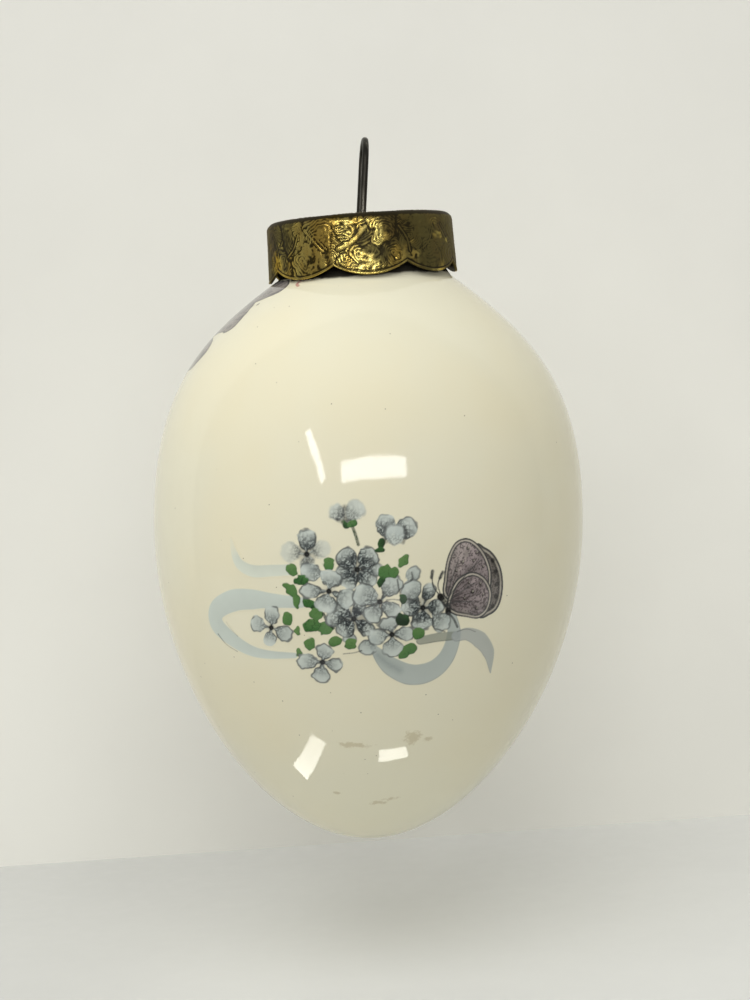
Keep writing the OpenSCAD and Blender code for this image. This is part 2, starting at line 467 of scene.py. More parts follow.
def egg_profile():
    """Radius and height from the tip, up over the neck's rim, and down to the cavity's floor."""
    lower = bezier(LOWER_CURVE, np.linspace(0, 1, 120))
    upper = bezier(UPPER_CURVE, np.linspace(0, FILLET_START, 92))[1:]
    shoulder = upper[-1]
    neck = bezier(np.array([
        shoulder, shoulder + FILLET_LEAVES,
        (NECK_RADIUS, NECK_FOOT - FILLET_TURNS), (NECK_RADIUS, NECK_FOOT),
    ]), np.linspace(0, 1, 12))[1:]
    turn = np.radians(np.linspace(0, 90, 8))
    rim = np.stack([
        NECK_RADIUS - RIM_ROUND + RIM_ROUND * np.cos(turn),
        RIM_HEIGHT - RIM_ROUND + RIM_ROUND * np.sin(turn),
    ], -1)
    mouth = np.array([
        (BORE_RADIUS + MOUTH_EASE, RIM_HEIGHT),
        (BORE_RADIUS + 0.35 * MOUTH_EASE, RIM_HEIGHT - 0.3),
        (BORE_RADIUS, RIM_HEIGHT - 0.9),
        (BORE_RADIUS, GLAZE_END),
        (BORE_RADIUS, BORE_FOOT),
    ])
    ceiling = inset(UPPER_CURVE, np.linspace(BORE_MEETS, 0, 60), WALL)
    floor = inset(LOWER_CURVE, np.linspace(1, 0, 60), WALL)[1:]
    profile = np.vstack([lower, upper, neck, rim, mouth, ceiling, floor])
    profile[0] = (0, 0)
    profile[-1] = (0, WALL)
    return profile


def make_egg():
    points, faces = turned(egg_profile(), EGG_COLUMNS)
    egg = new_piece("egg_glazed", placed(points), faces, "egg")
    egg.data.materials.append(glaze_material())
    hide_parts("egg_shell")


# ---------------------------------------------------------------- fired prints
PRINT_PITCH = 0.09
PRINT_TOP = 0.018
PRINT_BOTTOM = -0.015
PRINT_CREASE = math.radians(40)
# The least cover that counts as inked, and the least ink that makes a spot a piece's own.
LEAST_COVER = 0.015
LEAST_CLAIM = 0.05


class Print:
    """A picture on a patch of the glaze: ink colours and how well they cover, on a fine
    grid of arc lengths, and which piece each spot belongs to."""

    def __init__(self, left, right, bottom, top):
        self.left, self.bottom = left, bottom
        self.x, self.y = np.meshgrid(
            np.arange(left, right, PRINT_PITCH), np.arange(bottom, top, PRINT_PITCH)
        )
        self.colour = np.tile(CREAM, (*self.x.shape, 1))
        self.cover = np.zeros(self.x.shape)
        self.owner = np.zeros(self.x.shape, int)
        self.fleck = grain(self.x, self.y, 0.17, 3)
        self.cloud = grain(self.x, self.y, 1.1, 5)
        self.whorl = 1 - np.abs(2 * grain(self.x, self.y, 0.55, 7) - 1)

    def window(self, points, margin):
        """The part of the grid round some points."""
        points = np.asarray(points, float) - (self.left, self.bottom)
        low = np.maximum(0, (points.min(0) - margin) / PRINT_PITCH).astype(int)
        high = np.maximum(0, (points.max(0) + margin) / PRINT_PITCH + 2).astype(int)
        return slice(low[1], high[1]), slice(low[0], high[0])

    def lay(self, area, amount, colour, owner=None):
        """Lays ink over an area. Both amount and colour may vary from spot to spot. With
        an owner, the inked spots become part of that piece."""
        amount = np.clip(amount, 0, 1)
        share = amount[..., None]
        colour = np.broadcast_to(colour, (*amount.shape, 3))
        self.colour[area] = self.colour[area] * (1 - share) + colour * share
        self.cover[area] = self.cover[area] + (1 - self.cover[area]) * amount
        if owner is not None:
            self.owner[area] = np.where(amount > LEAST_CLAIM, owner, self.owner[area])

    def stroke(self, points, width, colour, amount, owner, soft=0.07):
        """A pen line."""
        line = smooth_line(points)
        area = self.window(line, width + 2 * soft)
        away, _, _ = nearest_on(line, self.x[area], self.y[area])
        mask = ramp(away - width / 2, soft, -soft)
        self.lay(area, amount * mask * (0.88 + 0.24 * self.fleck[area]), colour, owner)

    def dot(self, x, y, radius, colour, amount, owner, soft=0.08):
        """A round dot."""
        area = self.window([(x, y)], radius + 3 * soft)
        away = np.hypot(self.x[area] - x, self.y[area] - y) - radius
        self.lay(area, amount * ramp(away, soft, -soft), colour, owner)


def blend_colours(amount, a, b):
    """From a at amount 0 to b at 1, spot by spot."""
    amount = np.clip(amount, 0, 1)[..., None]
    return a * (1 - amount) + b * amount


INK_BLACK = linear(26, 27, 25)
INK_DARK = linear(66, 68, 66)
PETAL_PALE = linear(197, 205, 197)
PETAL_MID = linear(144, 154, 150)
PETAL_DEEP = linear(54, 60, 62)
LEAF = linear(62, 108, 56)
LEAF_LIGHT = linear(108, 140, 84)
LEAF_DARK = linear(34, 52, 32)
RIBBON_PALE = linear(214, 221, 206)
RIBBON_LIGHT = linear(196, 208, 201)
RIBBON_MID = linear(162, 174, 172)
RIBBON_STRAP = linear(138, 143, 128)
RIBBON_TAIL = linear(165, 171, 167)
RIBBON_SHADE = linear(120, 130, 128)
WING = linear(114, 106, 104)
WING_LIGHT = linear(168, 155, 153)
WING_DARK = linear(64, 58, 57)
WING_RIM = linear(192, 186, 168)

# The patch of glaze that holds the front print: left, right, bottom and top, in arc lengths
# from the middle of the egg's front. All the front print's points are measured so.
FRONT_PATCH = (-26.5, 22.5, -23.0, 7.0)
RIBBON, FLOWERS, BUDS, BUTTERFLY = 1, 2, 3, 4

# The bow's two tails, two loops and the strap that joins the right loop: middle line, widths
# along it, colour, strength of the line drawn down its right side, how much its start pales
# away, and cover.
RIBBONS = [
    ([(-20.6, -0.6), (-20.0, -2.5), (-19.0, -4.0), (-16.8, -4.8), (-13.8, -4.6), (-11.2, -4.4)],
     [0.5, 1.2, 1.6, 1.8, 1.7, 1.6], RIBBON_PALE, 0.0, 0.55, 0.92),
    ([(-9.4, -9.0), (-13.9, -8.9), (-17.0, -8.9), (-20.4, -9.3), (-23.6, -10.9),
      (-23.9, -13.0), (-21.4, -14.9), (-17.9, -16.5), (-14.8, -17.0), (-10.5, -16.9)],
     [1.6, 2.2, 3.0, 3.3, 3.1, 2.9, 2.4, 1.8, 1.4, 0.9], RIBBON_LIGHT, 0.0, 0.0, 0.9),
    ([(0.9, -15.6), (2.0, -17.0), (3.4, -18.4), (5.7, -19.6), (7.9, -19.6),
      (10.0, -18.6), (11.6, -16.6), (12.4, -13.6), (11.8, -10.9)],
     [1.2, 2.2, 2.9, 3.3, 3.2, 2.8, 2.4, 2.1, 1.8], RIBBON_MID, 0.35, 0.0, 0.9),
    ([(7.4, -14.5), (10.0, -14.1), (12.6, -14.0)], [1.3, 1.4, 1.3], RIBBON_STRAP, 0.5, 0.0, 0.9),
    ([(12.8, -14.1), (14.6, -13.9), (16.6, -14.9), (18.2, -17.0), (18.7, -20.2)],
     [1.6, 2.0, 2.6, 2.1, 0.3], RIBBON_TAIL, 0.3, 0.0, 0.9),
]
# Each pen line on the ribbons: points, width, colour, amount, softness.
RIBBON_LINES = [
    ([(-23.7, -14.6), (-22.2, -16.0), (-20.0, -17.0)], 0.18, INK_DARK, 0.7, 0.07),
    ([(-21.9, -12.6), (-21.2, -13.4), (-19.8, -14.6)], 0.14, INK_DARK, 0.5, 0.07),
    ([(12.9, -13.4), (14.4, -13.1), (15.8, -13.6)], 0.14, INK_DARK, 0.5, 0.07),
    ([(1.4, -16.6), (2.8, -17.9), (4.4, -18.9)], 0.9, RIBBON_SHADE, 0.5, 0.7),
]


def paint_ribbon(art, points, widths, colour, edge, paling, cover):
    """A band of ribbon along points, shaded across."""
    line = smooth_line(points, steps=10)
    area = art.window(line, max(widths))
    away, along, side = nearest_on(line, art.x[area], art.y[area])
    half = np.interp(along, np.linspace(0, 1, len(widths)), widths) / 2
    across = np.clip(away / half, 0, 1) * side
    shade = 0.5 + 0.35 * across + 0.25 * (art.cloud[area] - 0.5)
    tone = blend_colours(shade, colour, RIBBON_SHADE * 0.25 + colour * 0.75)
    mask = ramp(away - half, 0.12, -0.12)
    art.lay(area, cover * mask * (1 - paling * ramp(along, 0.3, 0.0)), tone, RIBBON)
    rim = ramp(np.abs(away - half + 0.08), 0.13, 0.02) * (side < 0)
    art.lay(area, edge * rim * (0.4 + 0.8 * art.cloud[area]), INK_DARK)


def paint_ribbons(art):
    for ribbon in RIBBONS:
        paint_ribbon(art, *ribbon)
    for points, width, colour, amount, soft in RIBBON_LINES:
        art.stroke(points, width, colour, amount, RIBBON, soft)


def paint_petal(art, owner, heart, middle, size, dark, tone, outline, cover=0.96):
    """One petal. Size is half its length out from the flower's heart, and half its width.
    Dark is how strongly it is veined, and tone how far it deepens towards the heart."""
    heart, middle = np.array(heart), np.array(middle)
    reach = np.hypot(*(middle - heart))
    axis = (middle - heart) / reach
    length, width = size
    area = art.window([middle], max(size) + 0.8)
    x, y = art.x[area], art.y[area]
    radial = (x - heart[0]) * axis[0] + (y - heart[1]) * axis[1]
    sideways = -(x - heart[0]) * axis[1] + (y - heart[1]) * axis[0]
    from_middle = (radial - reach) / length
    spread = width * (1 + 0.16 * np.clip(from_middle, -1, 1))
    wobble = 0.30 * (grain(x + 9 * heart[0], y + 7 * heart[1], 0.55, 21) - 0.5)
    away = (np.hypot(from_middle, sideways / spread) - 1) * min(length, width)
    wedge = np.abs(sideways) - 0.62 * width * np.clip(radial / reach, 0, 1)
    neck = np.where((radial > 0) & (radial < reach), wedge, 9.0)
    away = np.minimum(away, neck) + wobble
    soft = 0.09 if outline > 0.3 else 0.28
    body = ramp(away, soft, -soft)
    out = np.clip(radial / (reach + length), 0, 1)
    angle = np.arctan2(sideways, radial)
    streak = grain(angle * 9 + 40, out * 1.5 + heart[0], 0.55, 11)
    shade = 1.6 * tone * (0.95 - out) + 0.40 * (art.cloud[area] - 0.5)
    colour = blend_colours(shade + 0.08, PETAL_PALE, PETAL_MID)
    art.lay(area, cover * body, colour, owner)
    veins = body * ramp(out, 0.85, 0.15) * ramp(streak, 0.45, 0.75)
    art.lay(area, (0.22 + 0.60 * dark) * veins, PETAL_DEEP)
    stipple = body * ramp(art.fleck[area], 0.30, 0.60) * ramp(out, 0.72 + 0.38 * dark, 0.25)
    art.lay(area, (0.42 + 0.58 * dark) * stipple, PETAL_DEEP * (1 - 0.4 * dark))
    swirl = body * ramp(art.whorl[area], 0.55, 0.80) * ramp(out, 1.0, 0.5)
    art.lay(area, 0.9 * dark * swirl, PETAL_DEEP * 0.6)
    edge = ramp(np.abs(away + 0.06), 0.22, 0.05) * ramp(art.cloud[area], 0.1, 0.55)
    art.lay(area, outline * edge, INK_DARK, owner)


def paint_heart(art, x, y, radius, owner):
    """A flower's dark eye with its pale star."""
    for k in range(5):
        angle = 2 * math.pi * (k + 0.3 * x) / 5
        ray = (x + 0.95 * math.cos(angle), y + 0.95 * math.sin(angle))
        art.stroke([(x, y), ray], 0.16, PETAL_PALE, 0.45, owner)
    art.dot(x, y, radius + 0.12, INK_DARK, 0.6, owner, soft=0.2)
    art.dot(x, y, radius, INK_BLACK, 0.97, owner)
    art.dot(x + 0.1, y - 0.08, radius * 0.2, INK_DARK, 0.7, owner)


HEART_RADIUS = 0.38
# Each flower from back to front: its heart, how dark it is printed, and its petals from
# back to front, each with its middle, half its length and half its width.
FLOWER_HEADS = [
    ((-8.54, -2.12), 0.55, [((-8.5, -0.1), 1.5, 1.4)]),
    ((-1.47, -4.15), 0.85, [
        ((-0.1, -5.4), 1.35, 1.35), ((-2.5, -5.6), 1.35, 1.2), ((-3.2, -4.4), 1.3, 1.0),
        ((1.0, -4.2), 1.1, 1.0), ((0.0, -2.5), 1.5, 1.5), ((-2.9, -2.6), 1.5, 1.55),
    ]),
    ((-1.94, -11.19), 0.95, [
        ((-4.7, -11.3), 1.3, 1.2), ((-3.6, -10.1), 1.35, 1.1), ((-1.3, -9.8), 1.2, 0.9),
        ((-0.3, -12.5), 1.4, 1.1), ((-3.1, -12.6), 1.35, 1.35),
    ]),
    ((7.72, -9.68), 0.80, [
        ((8.6, -7.4), 1.3, 1.0), ((9.6, -9.6), 1.25, 1.2),
        ((7.6, -11.6), 1.35, 1.55), ((6.0, -9.6), 1.3, 1.3),
    ]),
    ((-5.42, -7.27), 0.22, [
        ((-8.0, -7.3), 1.6, 1.1), ((-5.1, -5.5), 1.15, 1.65), ((-5.8, -9.0), 1.3, 1.6),
        ((-3.0, -8.2), 1.35, 1.5),
    ]),
    ((1.68, -8.72), 0.25, [
        ((3.3, -6.5), 1.75, 1.4), ((3.3, -9.8), 1.45, 1.15), ((0.7, -10.4), 1.3, 1.4),
        ((-0.3, -7.8), 1.8, 1.6),
    ]),
    ((3.37, -13.5), 0.12, [
        ((3.0, -11.9), 1.0, 1.55), ((5.2, -13.4), 1.45, 1.1), ((3.5, -15.5), 1.35, 1.55),
        ((1.4, -13.8), 1.35, 1.2),
    ]),
    ((-14.01, -12.88), 0.15, [
        ((-14.3, -14.6), 1.1, 1.1), ((-12.0, -13.6), 1.35, 1.2), ((-16.2, -12.5), 1.3, 1.2),
        ((-13.9, -11.0), 1.35, 1.25),
    ]),
    ((-6.41, -17.74), 0.15, [
        ((-4.6, -18.1), 1.1, 1.1), ((-6.6, -19.7), 1.2, 1.35), ((-8.6, -17.7), 1.5, 1.25),
        ((-6.1, -16.1), 1.15, 1.3),
    ]),
]
# The pale petals behind the first flower: middle, half the length and width.
FAINT_PETALS = [
    ((-10.9, -1.9), (1.5, 1.5)), ((-6.5, -1.4), (1.4, 1.3)), ((-8.4, -3.6), (1.2, 1.2)),
]
# Each loose petal that fills the bunch: where it starts, its middle, half its length and width.
LOOSE_PETALS = [
    ((5.0, -7.0), (6.3, -4.9), (1.3, 1.0)),
    ((7.3, -9.0), (6.2, -7.1), (1.4, 1.5)),
    ((-5.4, -4.6), (-8.0, -4.6), (1.6, 1.35)),
    ((1.4, -13.2), (0.0, -15.4), (1.25, 1.2)),
    ((-2.0, -12.0), (-2.5, -14.0), (0.9, 1.0)),
    ((9.0, -10.6), (10.4, -11.9), (1.4, 1.5)),
]
# Leaves behind the flowers and in front of them: middle, half length, half width, turn in
# degrees, lightness.
LEAVES_BEHIND = [
    (-10.7, -4.35, 0.85, 0.9, 0, 0.55), (-9.3, -5.85, 1.06, 0.8, 0, -0.25),
    (-5.45, -3.45, 0.85, 0.9, 0, 0.35), (-10.85, -7.25, 1.35, 0.75, -35, 0.35),
    (-10.05, -8.85, 0.94, 0.6, 90, 0.3), (-8.35, -9.1, 1.0, 0.7, -30, -0.1),
    (-7.4, -9.8, 0.6, 0.45, -35, -0.6), (-7.2, -10.65, 1.05, 0.9, 0, 0.45),
    (-5.95, -12.6, 1.12, 1.1, -25, 0.3), (-7.95, -12.25, 1.35, 1.0, 15, 0.05),
    (-11.45, -11.45, 0.82, 0.95, 0, 0.5), (-10.0, -13.15, 0.5, 0.62, 0, 0.95),
    (-8.2, -15.05, 0.8, 1.0, 0, 0.5), (-9.85, -16.45, 0.5, 0.65, 0, 0.75),
    (-4.5, -14.5, 0.98, 0.78, 20, 0.6), (-2.4, -14.9, 0.9, 0.8, 0, 0.6),
]
LEAVES_IN_FRONT = [
    (1.85, -5.9, 0.72, 0.5, 50, -0.6), (2.5, -4.45, 1.08, 0.98, 0, 0.35),
    (3.65, -4.55, 0.78, 0.82, 0, 0.35), (4.9, -3.05, 1.08, 0.62, 55, 0.55),
    (4.95, -8.35, 0.72, 0.66, 0, -0.7), (4.85, -11.3, 1.02, 0.9, -20, -0.95),
    (7.1, -13.35, 0.95, 0.98, 0, 0.35), (5.95, -15.65, 1.02, 0.92, 35, 0.3),
    (5.1, -16.5, 0.78, 0.56, 35, 0.25),
]
LEAF_STEM = [(-6.2, -10.5), (-5.7, -11.6), (-4.8, -12.6)]
STALKS = [
    [(9.2, -11.2), (9.3, -12.6), (10.2, -13.0), (11.0, -13.3)],
    [(-3.4, -16.4), (-1.9, -16.2), (-0.9, -15.9)],
    [(4.1, -5.6), (4.3, -6.8), (4.5, -7.6)],
    [(6.1, -4.6), (6.2, -5.6), (5.2, -6.2)],
    [(2.6, -8.5), (3.4, -8.4), (4.4, -8.5)],
]


def paint_leaf(art, x, y, length, width, turn, light):
    """A small rounded leaf, stippled and darker along its lower edge."""
    turn = math.radians(turn)
    area = art.window([(x, y)], max(length, width) + 0.5)
    dx, dy = art.x[area] - x, art.y[area] - y
    along = (dx * math.cos(turn) + dy * math.sin(turn)) / length
    aside = (-dx * math.sin(turn) + dy * math.cos(turn)) / width
    wobble = 0.38 * (grain(art.x[area], art.y[area], 0.55, 31) - 0.5)
    away = (np.hypot(along, aside) - 1) * min(length, width) + wobble
    body = ramp(away, 0.08, -0.08)
    tone = light + 0.25 * aside + 0.4 * (art.cloud[area] - 0.5)
    colour = blend_colours(0.15 + 0.7 * tone, LEAF, LEAF_LIGHT)
    colour = blend_colours(-tone, colour, LEAF_DARK)
    art.lay(area, body, colour, FLOWERS)
    dark = body * ramp(art.fleck[area], 0.55, 0.85)
    art.lay(area, (0.15 + 0.3 * (light < 0.1)) * dark, LEAF_DARK)
    edge = ramp(np.abs(away + 0.05), 0.12, 0.02) * ramp(aside, 0.5, -0.4)
    art.lay(area, 0.4 * edge, LEAF_DARK)


def paint_flowers(art):
    """The bunch, from back to front."""
    for middle, size in FAINT_PETALS:
        paint_petal(art, FLOWERS, FLOWER_HEADS[0][0], middle, size, 0.15, 0.0, 0.05, 0.75)
    for heart, middle, size in LOOSE_PETALS:
        paint_petal(art, FLOWERS, heart, middle, size, 0.2, 0.45, 0.6)
    for leaf in LEAVES_BEHIND:
        paint_leaf(art, *leaf)
    art.stroke(LEAF_STEM, 0.45, LEAF_DARK, 0.9, FLOWERS)
    for heart, dark, petals in FLOWER_HEADS:
        art.dot(*heart, 1.1 + 0.7 * dark, PETAL_DEEP, 0.25 + 0.5 * dark, FLOWERS, soft=0.5)
        for middle, *size in petals:
            paint_petal(art, FLOWERS, heart, middle, size, dark, 0.3 + 0.45 * dark, 0.75)
        paint_heart(art, *heart, HEART_RADIUS, FLOWERS)
    for leaf in LEAVES_IN_FRONT:
        paint_leaf(art, *leaf)
    for stalk in STALKS:
        art.stroke(stalk, 0.24, INK_DARK, 0.75, FLOWERS, soft=0.1)


# Each petal of the two buds: where it starts, its middle, half its length and width, how
# dark it is, its tone, the strength of its outline and its cover.
BUD_PETALS = [
    ((-2.9, 2.4), (-4.2, 3.7), (1.4, 1.2), 0.45, 0.3, 0.05, 0.9),
    ((-2.9, 2.2), (-1.8, 4.0), (1.6, 1.45), 0.2, 0.3, 0.12, 0.9),
    ((2.6, 0.0), (2.4, 2.0), (1.5, 1.35), 0.7, 0.4, 0.45, 0.96),
    ((3.8, 0.2), (5.3, 1.5), (1.7, 1.45), 0.45, 0.35, 0.7, 0.96),
    ((3.75, -1.0), (3.75, 0.6), (1.5, 1.45), 0.0, 0.15, 0.3, 0.96),
]
# Each stroke of the buds' shadows and stem: points, width, colour, amount, softness.
BUD_LINES = [
    ([(-3.2, 4.6), (-3.35, 3.5), (-2.9, 2.4)], 0.6, INK_DARK, 0.75, 0.3),
    ([(-4.4, 2.9), (-3.6, 2.4), (-2.4, 2.7)], 0.45, INK_DARK, 0.6, 0.25),
    ([(-2.2, 2.0), (-1.7, 0.7), (-1.3, -0.7)], 0.5, LEAF_DARK * 1.4, 0.9, 0.1),
    ([(5.1, 1.7), (5.3, 0.6), (4.9, -0.5)], 0.5, INK_DARK, 0.75, 0.2),
    ([(2.5, 1.7), (2.25, 0.6), (2.5, -0.4)], 0.45, INK_DARK, 0.65, 0.2),
]
BUD_LEAVES = [
    (-3.0, 2.0, 0.75, 0.5, -40, -0.75), (-2.2, 2.2, 0.85, 0.62, 35, 0.0),
    (1.9, -0.5, 0.95, 0.5, 80, -0.75), (1.7, -1.35, 0.7, 0.32, 10, -0.5),
]
# Round the buds' feet, what the bunch has above this height belongs to the buds.
BUD_FEET = [(-3.0, 2.1), (1.9, -0.7)]
BUDS_FROM = -1.7


def paint_buds(art):
    """Two opening buds above the bunch."""
    for petal in BUD_PETALS:
        paint_petal(art, BUDS, *petal)
    for points, width, colour, amount, soft in BUD_LINES:
        art.stroke(points, width, colour, amount, BUDS, soft)
    for leaf in BUD_LEAVES:
        paint_leaf(art, *leaf)
    area = art.window(BUD_FEET, 1.2)
    near = (art.owner[area] == FLOWERS) & (art.y[area] > BUDS_FROM)
    art.owner[area] = np.where(near, BUDS, art.owner[area])


def wing_ground(art, outline, root):
    """The part of the grid round a wing, how deep each spot lies inside its outline, and
    its distance and direction from the wing's root."""
    line = smooth_line(outline, closed=True)
    area = art.window(line, 0.6)
    x, y = art.x[area], art.y[area]
    away, _, _ = nearest_on(np.vstack([line, line[:1]]), x, y)
    depth = np.where(inside_of(line, x, y), away, -away)
    return area, depth, np.hypot(x - root[0], y - root[1]), np.arctan2(y - root[1], x - root[0])


def paint_wing(art, outline, fill, pale, rims, veins):
    """One wing: a clouded fill, veins from its root, and a drawn double rim. Each rim has
    its depth, half its width, its ink and its strength."""
    area, depth, reach, angle = wing_ground(art, outline, BUTTERFLY_ROOT)
    body = ramp(depth, -0.08, 0.08)
    art.lay(area, 0.95 * body, blend_colours(art.cloud[area], fill, pale), BUTTERFLY)
    art.lay(area, 0.6 * body * ramp(reach, 6.0, 1.0), WING_DARK)
    ribs = grain(angle * veins + 60, reach * 0.25, 0.42, 41)
    art.lay(area, 0.75 * body * ramp(ribs, 0.52, 0.8) * ramp(reach, 9.0, 1.5), WING_DARK)
    art.lay(area, 0.7 * body * ramp(art.fleck[area], 0.50, 0.72), WING_DARK)
    for centre, half, ink, amount in rims:
        ring = ramp(np.abs(depth - centre), half + 0.06, half - 0.03)
        art.lay(area, amount * ring * (0.8 + 0.4 * art.cloud[area]), ink, BUTTERFLY)


BUTTERFLY_ROOT = (11.0, -8.8)
FAR_RIMS = [(0.08, 0.12, INK_DARK, 0.9), (0.42, 0.10, WING_RIM, 0.55), (0.75, 0.16, INK_BLACK, 0.5)]
NEAR_RIMS = [(0.05, 0.10, INK_DARK, 0.9), (0.28, 0.09, WING_RIM, 0.7), (0.50, 0.09, INK_DARK, 0.75)]
# The far wings and the two near ones: outline, the fill's two colours, rims, veins.
BUTTERFLY_WINGS = [
    ([(12.6, -7.5), (15.3, -1.3), (17.2, -1.5), (19.0, -2.9), (20.2, -5.4),
      (20.3, -8.2), (19.6, -10.2), (18.2, -11.2), (16.0, -11.4)],
     WING_DARK * 0.8, WING, FAR_RIMS, 9),
    ([(10.9, -8.2), (10.8, -5.6), (11.3, -2.7), (12.5, -0.6), (14.3, -0.1),
      (16.1, -1.1), (17.6, -3.1), (18.3, -5.6), (17.6, -8.6), (14.0, -10.0)],
     WING, WING_LIGHT, NEAR_RIMS, 7),
    ([(11.2, -9.6), (12.2, -6.6), (13.6, -5.3), (15.4, -4.9), (17.3, -5.9),
      (18.4, -8.0), (17.9, -10.4), (16.3, -11.6), (14.2, -11.3), (12.3, -10.8)],
     WING * 1.15, WING_LIGHT, NEAR_RIMS, 9),
]
EYE_SPOTS = [
    (13.6, -3.4, 0.30), (15.3, -3.3, 0.22), (12.6, -4.6, 0.22), (14.4, -1.5, 0.26),
    (15.8, -2.2, 0.24), (16.9, -4.2, 0.22), (15.2, -7.7, 0.32), (13.9, -8.6, 0.2),
    (16.9, -8.2, 0.22), (16.4, -6.6, 0.22), (15.9, -10.2, 0.22), (14.6, -6.4, 0.2),
]
FAR_SPOTS = [(19.0, -5.0), (19.3, -6.8), (19.2, -8.6), (18.5, -3.4), (18.6, -10.0)]
BUTTERFLY_VEINS = [
    [(11.3, -8.6), (13.0, -6.4), (15.2, -4.2), (16.6, -3.2)],
    [(11.2, -8.4), (12.0, -5.6), (13.0, -3.0)],
    [(11.3, -9.2), (13.2, -9.0), (15.4, -9.2)],
    [(11.3, -9.0), (13.4, -7.6), (15.6, -6.4)],
]
BUTTERFLY_BODY = [(10.2, -8.1), (10.8, -8.8), (11.3, -9.6), (11.5, -10.5)]
# Its head and the end of its body: place, radius and strength.
BUTTERFLY_ENDS = [(10.3, -8.2, 0.55, 0.95), (11.4, -10.3, 0.45, 0.9)]
# Feelers with their clubs, and a leg: points, width, strength, softness.
BUTTERFLY_LIMBS = [
    ([(10.0, -7.8), (9.2, -6.6), (9.0, -4.8)], 0.24, 0.9, 0.07),
    ([(10.2, -7.6), (9.9, -6.4), (10.4, -4.9)], 0.24, 0.9, 0.07),
    ([(8.95, -5.4), (9.1, -4.5)], 0.55, 0.9, 0.14),
    ([(10.2, -5.5), (10.6, -4.7)], 0.55, 0.9, 0.14),
    ([(11.5, -10.6), (12.3, -11.5), (12.9, -12.7)], 0.36, 0.8, 0.07),
]


def paint_butterfly(art):
    """A butterfly seen from its side, its near wings over its far ones."""
    for wing in BUTTERFLY_WINGS:
        paint_wing(art, *wing)
    for x, y, radius in EYE_SPOTS:
        art.dot(x, y, radius, INK_BLACK, 0.75, BUTTERFLY)
        art.dot(x + 0.08, y + 0.1, radius * 0.4, WING_RIM, 0.7, BUTTERFLY)
    for x, y in FAR_SPOTS:
        art.dot(x, y, 0.36, INK_BLACK, 0.7, BUTTERFLY)
    for points in BUTTERFLY_VEINS:
        art.stroke(points, 0.16, INK_DARK, 0.75, BUTTERFLY)
    art.stroke(BUTTERFLY_BODY, 0.85, INK_DARK * 0.7, 0.95, BUTTERFLY, soft=0.14)
    for x, y, radius, amount in BUTTERFLY_ENDS:
        art.dot(x, y, radius, INK_BLACK, amount, BUTTERFLY, soft=0.14)
    for points, width, amount, soft in BUTTERFLY_LIMBS:
        art.stroke(points, width, INK_DARK, amount, BUTTERFLY, soft)


def print_material(name):
    """Ink fired under the same gloss as the glaze round it."""
    shader = Shader(name, IOR=1.5)
    cover = shader.attribute("ink", "Alpha")
    ink = shader.attribute("ink", "Color")
    shader.drive("Base Color", shader.mix(cover, glaze_colour(shader), ink))
    glaze_surface(shader)
    return shader.material


def make_print(art, owner, name, turn, replaced, material):
    """The inked cells of one owner, as a thin closed skin in the glaze."""
    inked = (art.cover > LEAST_COVER) & (art.owner == owner)
    cell = inked[:-1, :-1] | inked[1:, :-1] | inked[:-1, 1:] | inked[1:, 1:]
    first = art.owner[:-1, :-1]
    for corner in (art.owner[1:, :-1], art.owner[:-1, 1:], art.owner[1:, 1:]):
        first = np.maximum(first, corner)
    cell &= first == owner
    rows, columns = np.nonzero(cell)
    used = np.zeros(art.x.shape, bool)
    for i in (0, 1):
        for j in (0, 1):
            used[rows + i, columns + j] = True
    index = np.cumsum(used.reshape(-1)).reshape(used.shape) - 1
    count = int(used.sum())
    x, y = art.x[used], art.y[used]
    top = on_glaze(x, y, turn, PRINT_TOP)
    bottom = on_glaze(x, y, turn, PRINT_BOTTOM)
    a, b = index[rows, columns], index[rows, columns + 1]
    c, d = index[rows + 1, columns + 1], index[rows + 1, columns]
    faces = np.vstack([np.stack([a, b, c, d], -1), np.stack([d, c, b, a], -1) + count])
    faces = faces.tolist() + side_walls(cell, index, count)
    piece = new_piece(name, placed(np.vstack([top, bottom])), faces, "egg")
    ink = np.concatenate([art.colour[used], art.cover[used][:, None]], axis=1)
    add_attribute(piece, "ink", np.vstack([ink, ink]))
    piece.data.set_sharp_from_angle(angle=PRINT_CREASE)
    piece.data.materials.append(material)
    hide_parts(replaced)


def side_walls(cell, index, count):
    """Faces that close the rim between the top and the bottom skin."""
    padded = np.pad(cell, 1)
    walls = []
    sides = (
        ((-1, 0), (0, 0), (0, 1)),
        ((0, 1), (0, 1), (1, 1)),
        ((1, 0), (1, 1), (1, 0)),
        ((0, -1), (1, 0), (0, 0)),
    )
    for (row_step, column_step), start, end in sides:
        height, width = cell.shape
        beside = padded[
            1 + row_step : 1 + row_step + height, 1 + column_step : 1 + column_step + width
        ]
        rows, columns = np.nonzero(cell & ~beside)
        p = index[rows + start[0], columns + start[1]]
        q = index[rows + end[0], columns + end[1]]
        walls += np.stack([q, p, p + count, q + count], -1).tolist()
    return walls


def make_front_print():
    art = Print(*FRONT_PATCH)
    paint_ribbons(art)
    paint_flowers(art)
    paint_buds(art)
    paint_butterfly(art)
    material = print_material("front_print_ink")
    for owner, name in (
        (RIBBON, "print_ribbon"), (FLOWERS, "print_flowers"),
        (BUDS, "print_buds"), (BUTTERFLY, "print_butterfly"),
    ):
        make_print(art, owner, name, 0.0, "front_decal", material)


# ---------------------------------------------------------------- side print
LILAC = linear(108, 101, 100)
LILAC_LIGHT = linear(138, 131, 127)
LILAC_DARK = linear(66, 60, 66)
PINK = linear(172, 96, 96)
SIDE_TURN = math.radians(-90)
WINGS, MARK = 1, 2

